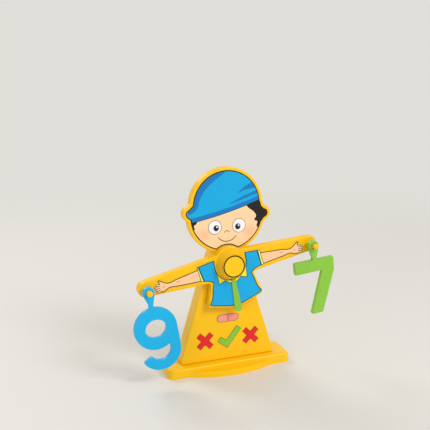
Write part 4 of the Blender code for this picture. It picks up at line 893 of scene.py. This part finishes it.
hem = [
    (10, -68.0), (21.8, -65.0), (33, -61.7), (41.4, -59.0), (44.2, -56.0), (42.2, -52.6), (39.4, -47.8),
    (36.4, -36.6), (32.6, -22.4, 1), (40, -18.4)]
neckline = [(25.7, 12.8, 1), (25.7, -2, 1), (24.4, -8.0), (21.4, -14.2), (16.2, -19.9), (8.7, -24.2)]
right_sleeve = [(46.0, -16.8), (50.9, -16.0, 1), (47.6, 10.4, 1)]
left_sleeve = [(-52.6, 9.6, 1), (-47.2, -16.8, 1), (-45.0, -17.0)]
shirt = (
    [(0, -68.7)] + hem + right_sleeve + neckline + [(0, -25.7)]
    + [(-x, y, *corner) for x, y, *corner in reversed(neckline)] + left_sleeve
    + [(-x, y, *corner) for x, y, *corner in reversed(hem)])
layers = [
    inked(drawn_area("shirt line", shirt, TILT, SHIRT_DEPTH), shirt_line),
    inked(drawn_area("shirt", inset_outline(shirt, SHIRT_LINE), TILT, SHIRT_DEPTH + INK), shirt_ink),
]
for side, under, over, cuff in (
        (-1, 49.5, 53.0, [(-51.8, -15.7, 1), (-46.7, -17.0, 1), (-52.2, 9.7, 1), (-54.8, 9.2, 1)]),
        (1, 52.4, 50.0, [(50.3, -16.3, 1), (54.7, -15.4, 1), (51.5, 9.9, 1), (47.3, 10.5, 1)])):
    arm = sided(side, [
        (under, -14.9, 1), (70, -13.4), (90, -11.6), (102, -10.4), (107, -12.2), (112, -14.2), (116.2, -13.4),
        (117.6, -10.6), (118.4, -6.0), (117.8, -2.2), (117.0, 0.6), (118.4, 3.8), (116.4, 5.8), (112, 3.2),
        (107, -0.2), (102, -1.8), (90, 0.2), (70, 2.8), (over, 5.3, 1)])
    fingers = [
        sided(side, [
            (KNUCKLES, root - FINGER_HALF_WIDTH, 1),
            (reach - FINGER_TIP_LENGTH, rise - FINGER_TIP_HALF_WIDTH), (reach, rise),
            (reach - FINGER_TIP_LENGTH, rise + FINGER_TIP_HALF_WIDTH),
            (KNUCKLES, root + FINGER_HALF_WIDTH, 1)])
        for root, reach, rise in (
            (-10.6, 123.2, -12.2), (-8.0, 125.0, -8.6), (-5.4, 125.4, -5.0), (-2.8, 123.4, -1.4))]
    collar = sided(side, [
        (21.3, -14.2), (16.2, -19.8), (8.7, -24.1), (0, -25.7), (0, -28.4, 1), (5.0, -31.6, 1),
        (13.6, -24.8, 1), (24.0, -28.6, 1), (24.9, -8.5, 1)])
    layers.append(inked(drawn_area("arm line", arm, TILT, SHIRT_DEPTH), line_ink))
    for finger in fingers:
        skin = inset_outline(finger, FINGER_LINE)
        layers.append(inked(drawn_area("finger line", finger, TILT, SHIRT_DEPTH + 0.5 * INK), line_ink))
        layers.append(inked(drawn_area("finger", skin, TILT, SHIRT_DEPTH + INK), arm_ink))
    in_arm, in_cuff = inset_outline(arm, ARM_LINE), inset_outline(cuff, CUFF_LINE)
    in_collar = inset_outline(collar, COLLAR_LINE)
    layers += [
        inked(drawn_area("arm", in_arm, TILT, SHIRT_DEPTH + 1.5 * INK), arm_ink),
        inked(drawn_area("cuff line", cuff, TILT, SHIRT_DEPTH + 2 * INK), shirt_line),
        inked(drawn_area("cuff", in_cuff, TILT, SHIRT_DEPTH + 3 * INK), cuff_ink),
        inked(drawn_area("collar line", collar, TILT, SHIRT_DEPTH + 2 * INK), shirt_line),
        inked(drawn_area("collar", in_collar, TILT, SHIRT_DEPTH + 3 * INK), collar_ink),
    ]
    for crease in ([(84, -3.2), (87, -4.6), (91, -4.6)], [(109, -5.6), (110.5, -6.6), (112.5, -6.2)]):
        stroke = drawn_line("crease", sided(side, crease), CREASE_WIDTH, TILT, SHIRT_DEPTH + 2.5 * INK)
        layers.append(inked(stroke, pen_ink))
as_picture("shirt_picture", "beam", layers)

# The disc in the cap over the pivot: a round printed sheet, yellow with a dark ring at its edge, glued into
# the cap's recess.

BADGE_DEPTH = depths_of("cap_badge")[1]
GROUND_RADIUS = 15.7
badge_line = ink("badge ring ink", (0.032, 0.013, 0.002))
badge_ground = ink("badge ground ink", (1.0, 0.57, 0.006))
finish_nodes(badge_line, "cap_badge")
ground = drawn_area("badge ground", oval(0, 0, GROUND_RADIUS, GROUND_RADIUS), TILT, BADGE_DEPTH)
as_picture("badge_picture", "beam", [inked(ground, badge_ground)])

# The marks on the stand: a pink capsule that the pointer plays over, and under it a green tick between two
# red crosses. They are printed labels, each with a darker edge.

MARK_RIM = 0.0007
RED_EDGE, RED = (0.28, 0.01, 0.012), (0.78, 0.018, 0.024)
GREEN_EDGE, MARK_GREEN = (0.05, 0.22, 0.02), (0.25, 0.56, 0.05)
PINK_EDGE, PINK = (0.42, 0.09, 0.07), (0.87, 0.33, 0.29)
PALE_PINK, DEEP_PINK = (0.88, 0.30, 0.24), (0.60, 0.008, 0.02)
LINE_HALF_WIDTH, LINE_HALF_HEIGHT = 0.5, 5.6
HALF_FROM, HALF_REACH, HALF_RISE = 0.6, 20, 8


def rectangle(left, right, bottom, top):
    return [(left, bottom, 1), (right, bottom, 1), (right, top, 1), (left, top, 1)]


for name, slot, edge_colour, colour in (
        ("cross_left", "red_mark", RED_EDGE, RED),
        ("cross_right", "red_mark", RED_EDGE, RED),
        ("tick", "green_mark", GREEN_EDGE, MARK_GREEN),
        ("scale_band", "pink_mark", PINK_EDGE, PINK)):
    finish_nodes(ink(name + " edge ink", edge_colour), name)
    ground = inked(sheet_front(name, MARK_RIM), ink(name + " ink", colour))
    areas = [ground]
    if name == "scale_band":
        middle = (middle_of(name)[1] - PIVOT.z) / MM
        half = rectangle(HALF_FROM, HALF_REACH, middle - HALF_RISE, middle + HALF_RISE)
        line = rectangle(
            -LINE_HALF_WIDTH, LINE_HALF_WIDTH, middle - LINE_HALF_HEIGHT, middle + LINE_HALF_HEIGHT)
        paler = within("right half", ground, half, 0, 1)
        stroke = drawn_area("middle line", line, 0, depths_of(name)[1] + INK)
        areas.append(inked(paler, ink("pale pink ink", PALE_PINK)))
        areas.append(inked(stroke, ink("deep pink ink", DEEP_PINK)))
    as_picture(name + "_picture", "stand", areas)
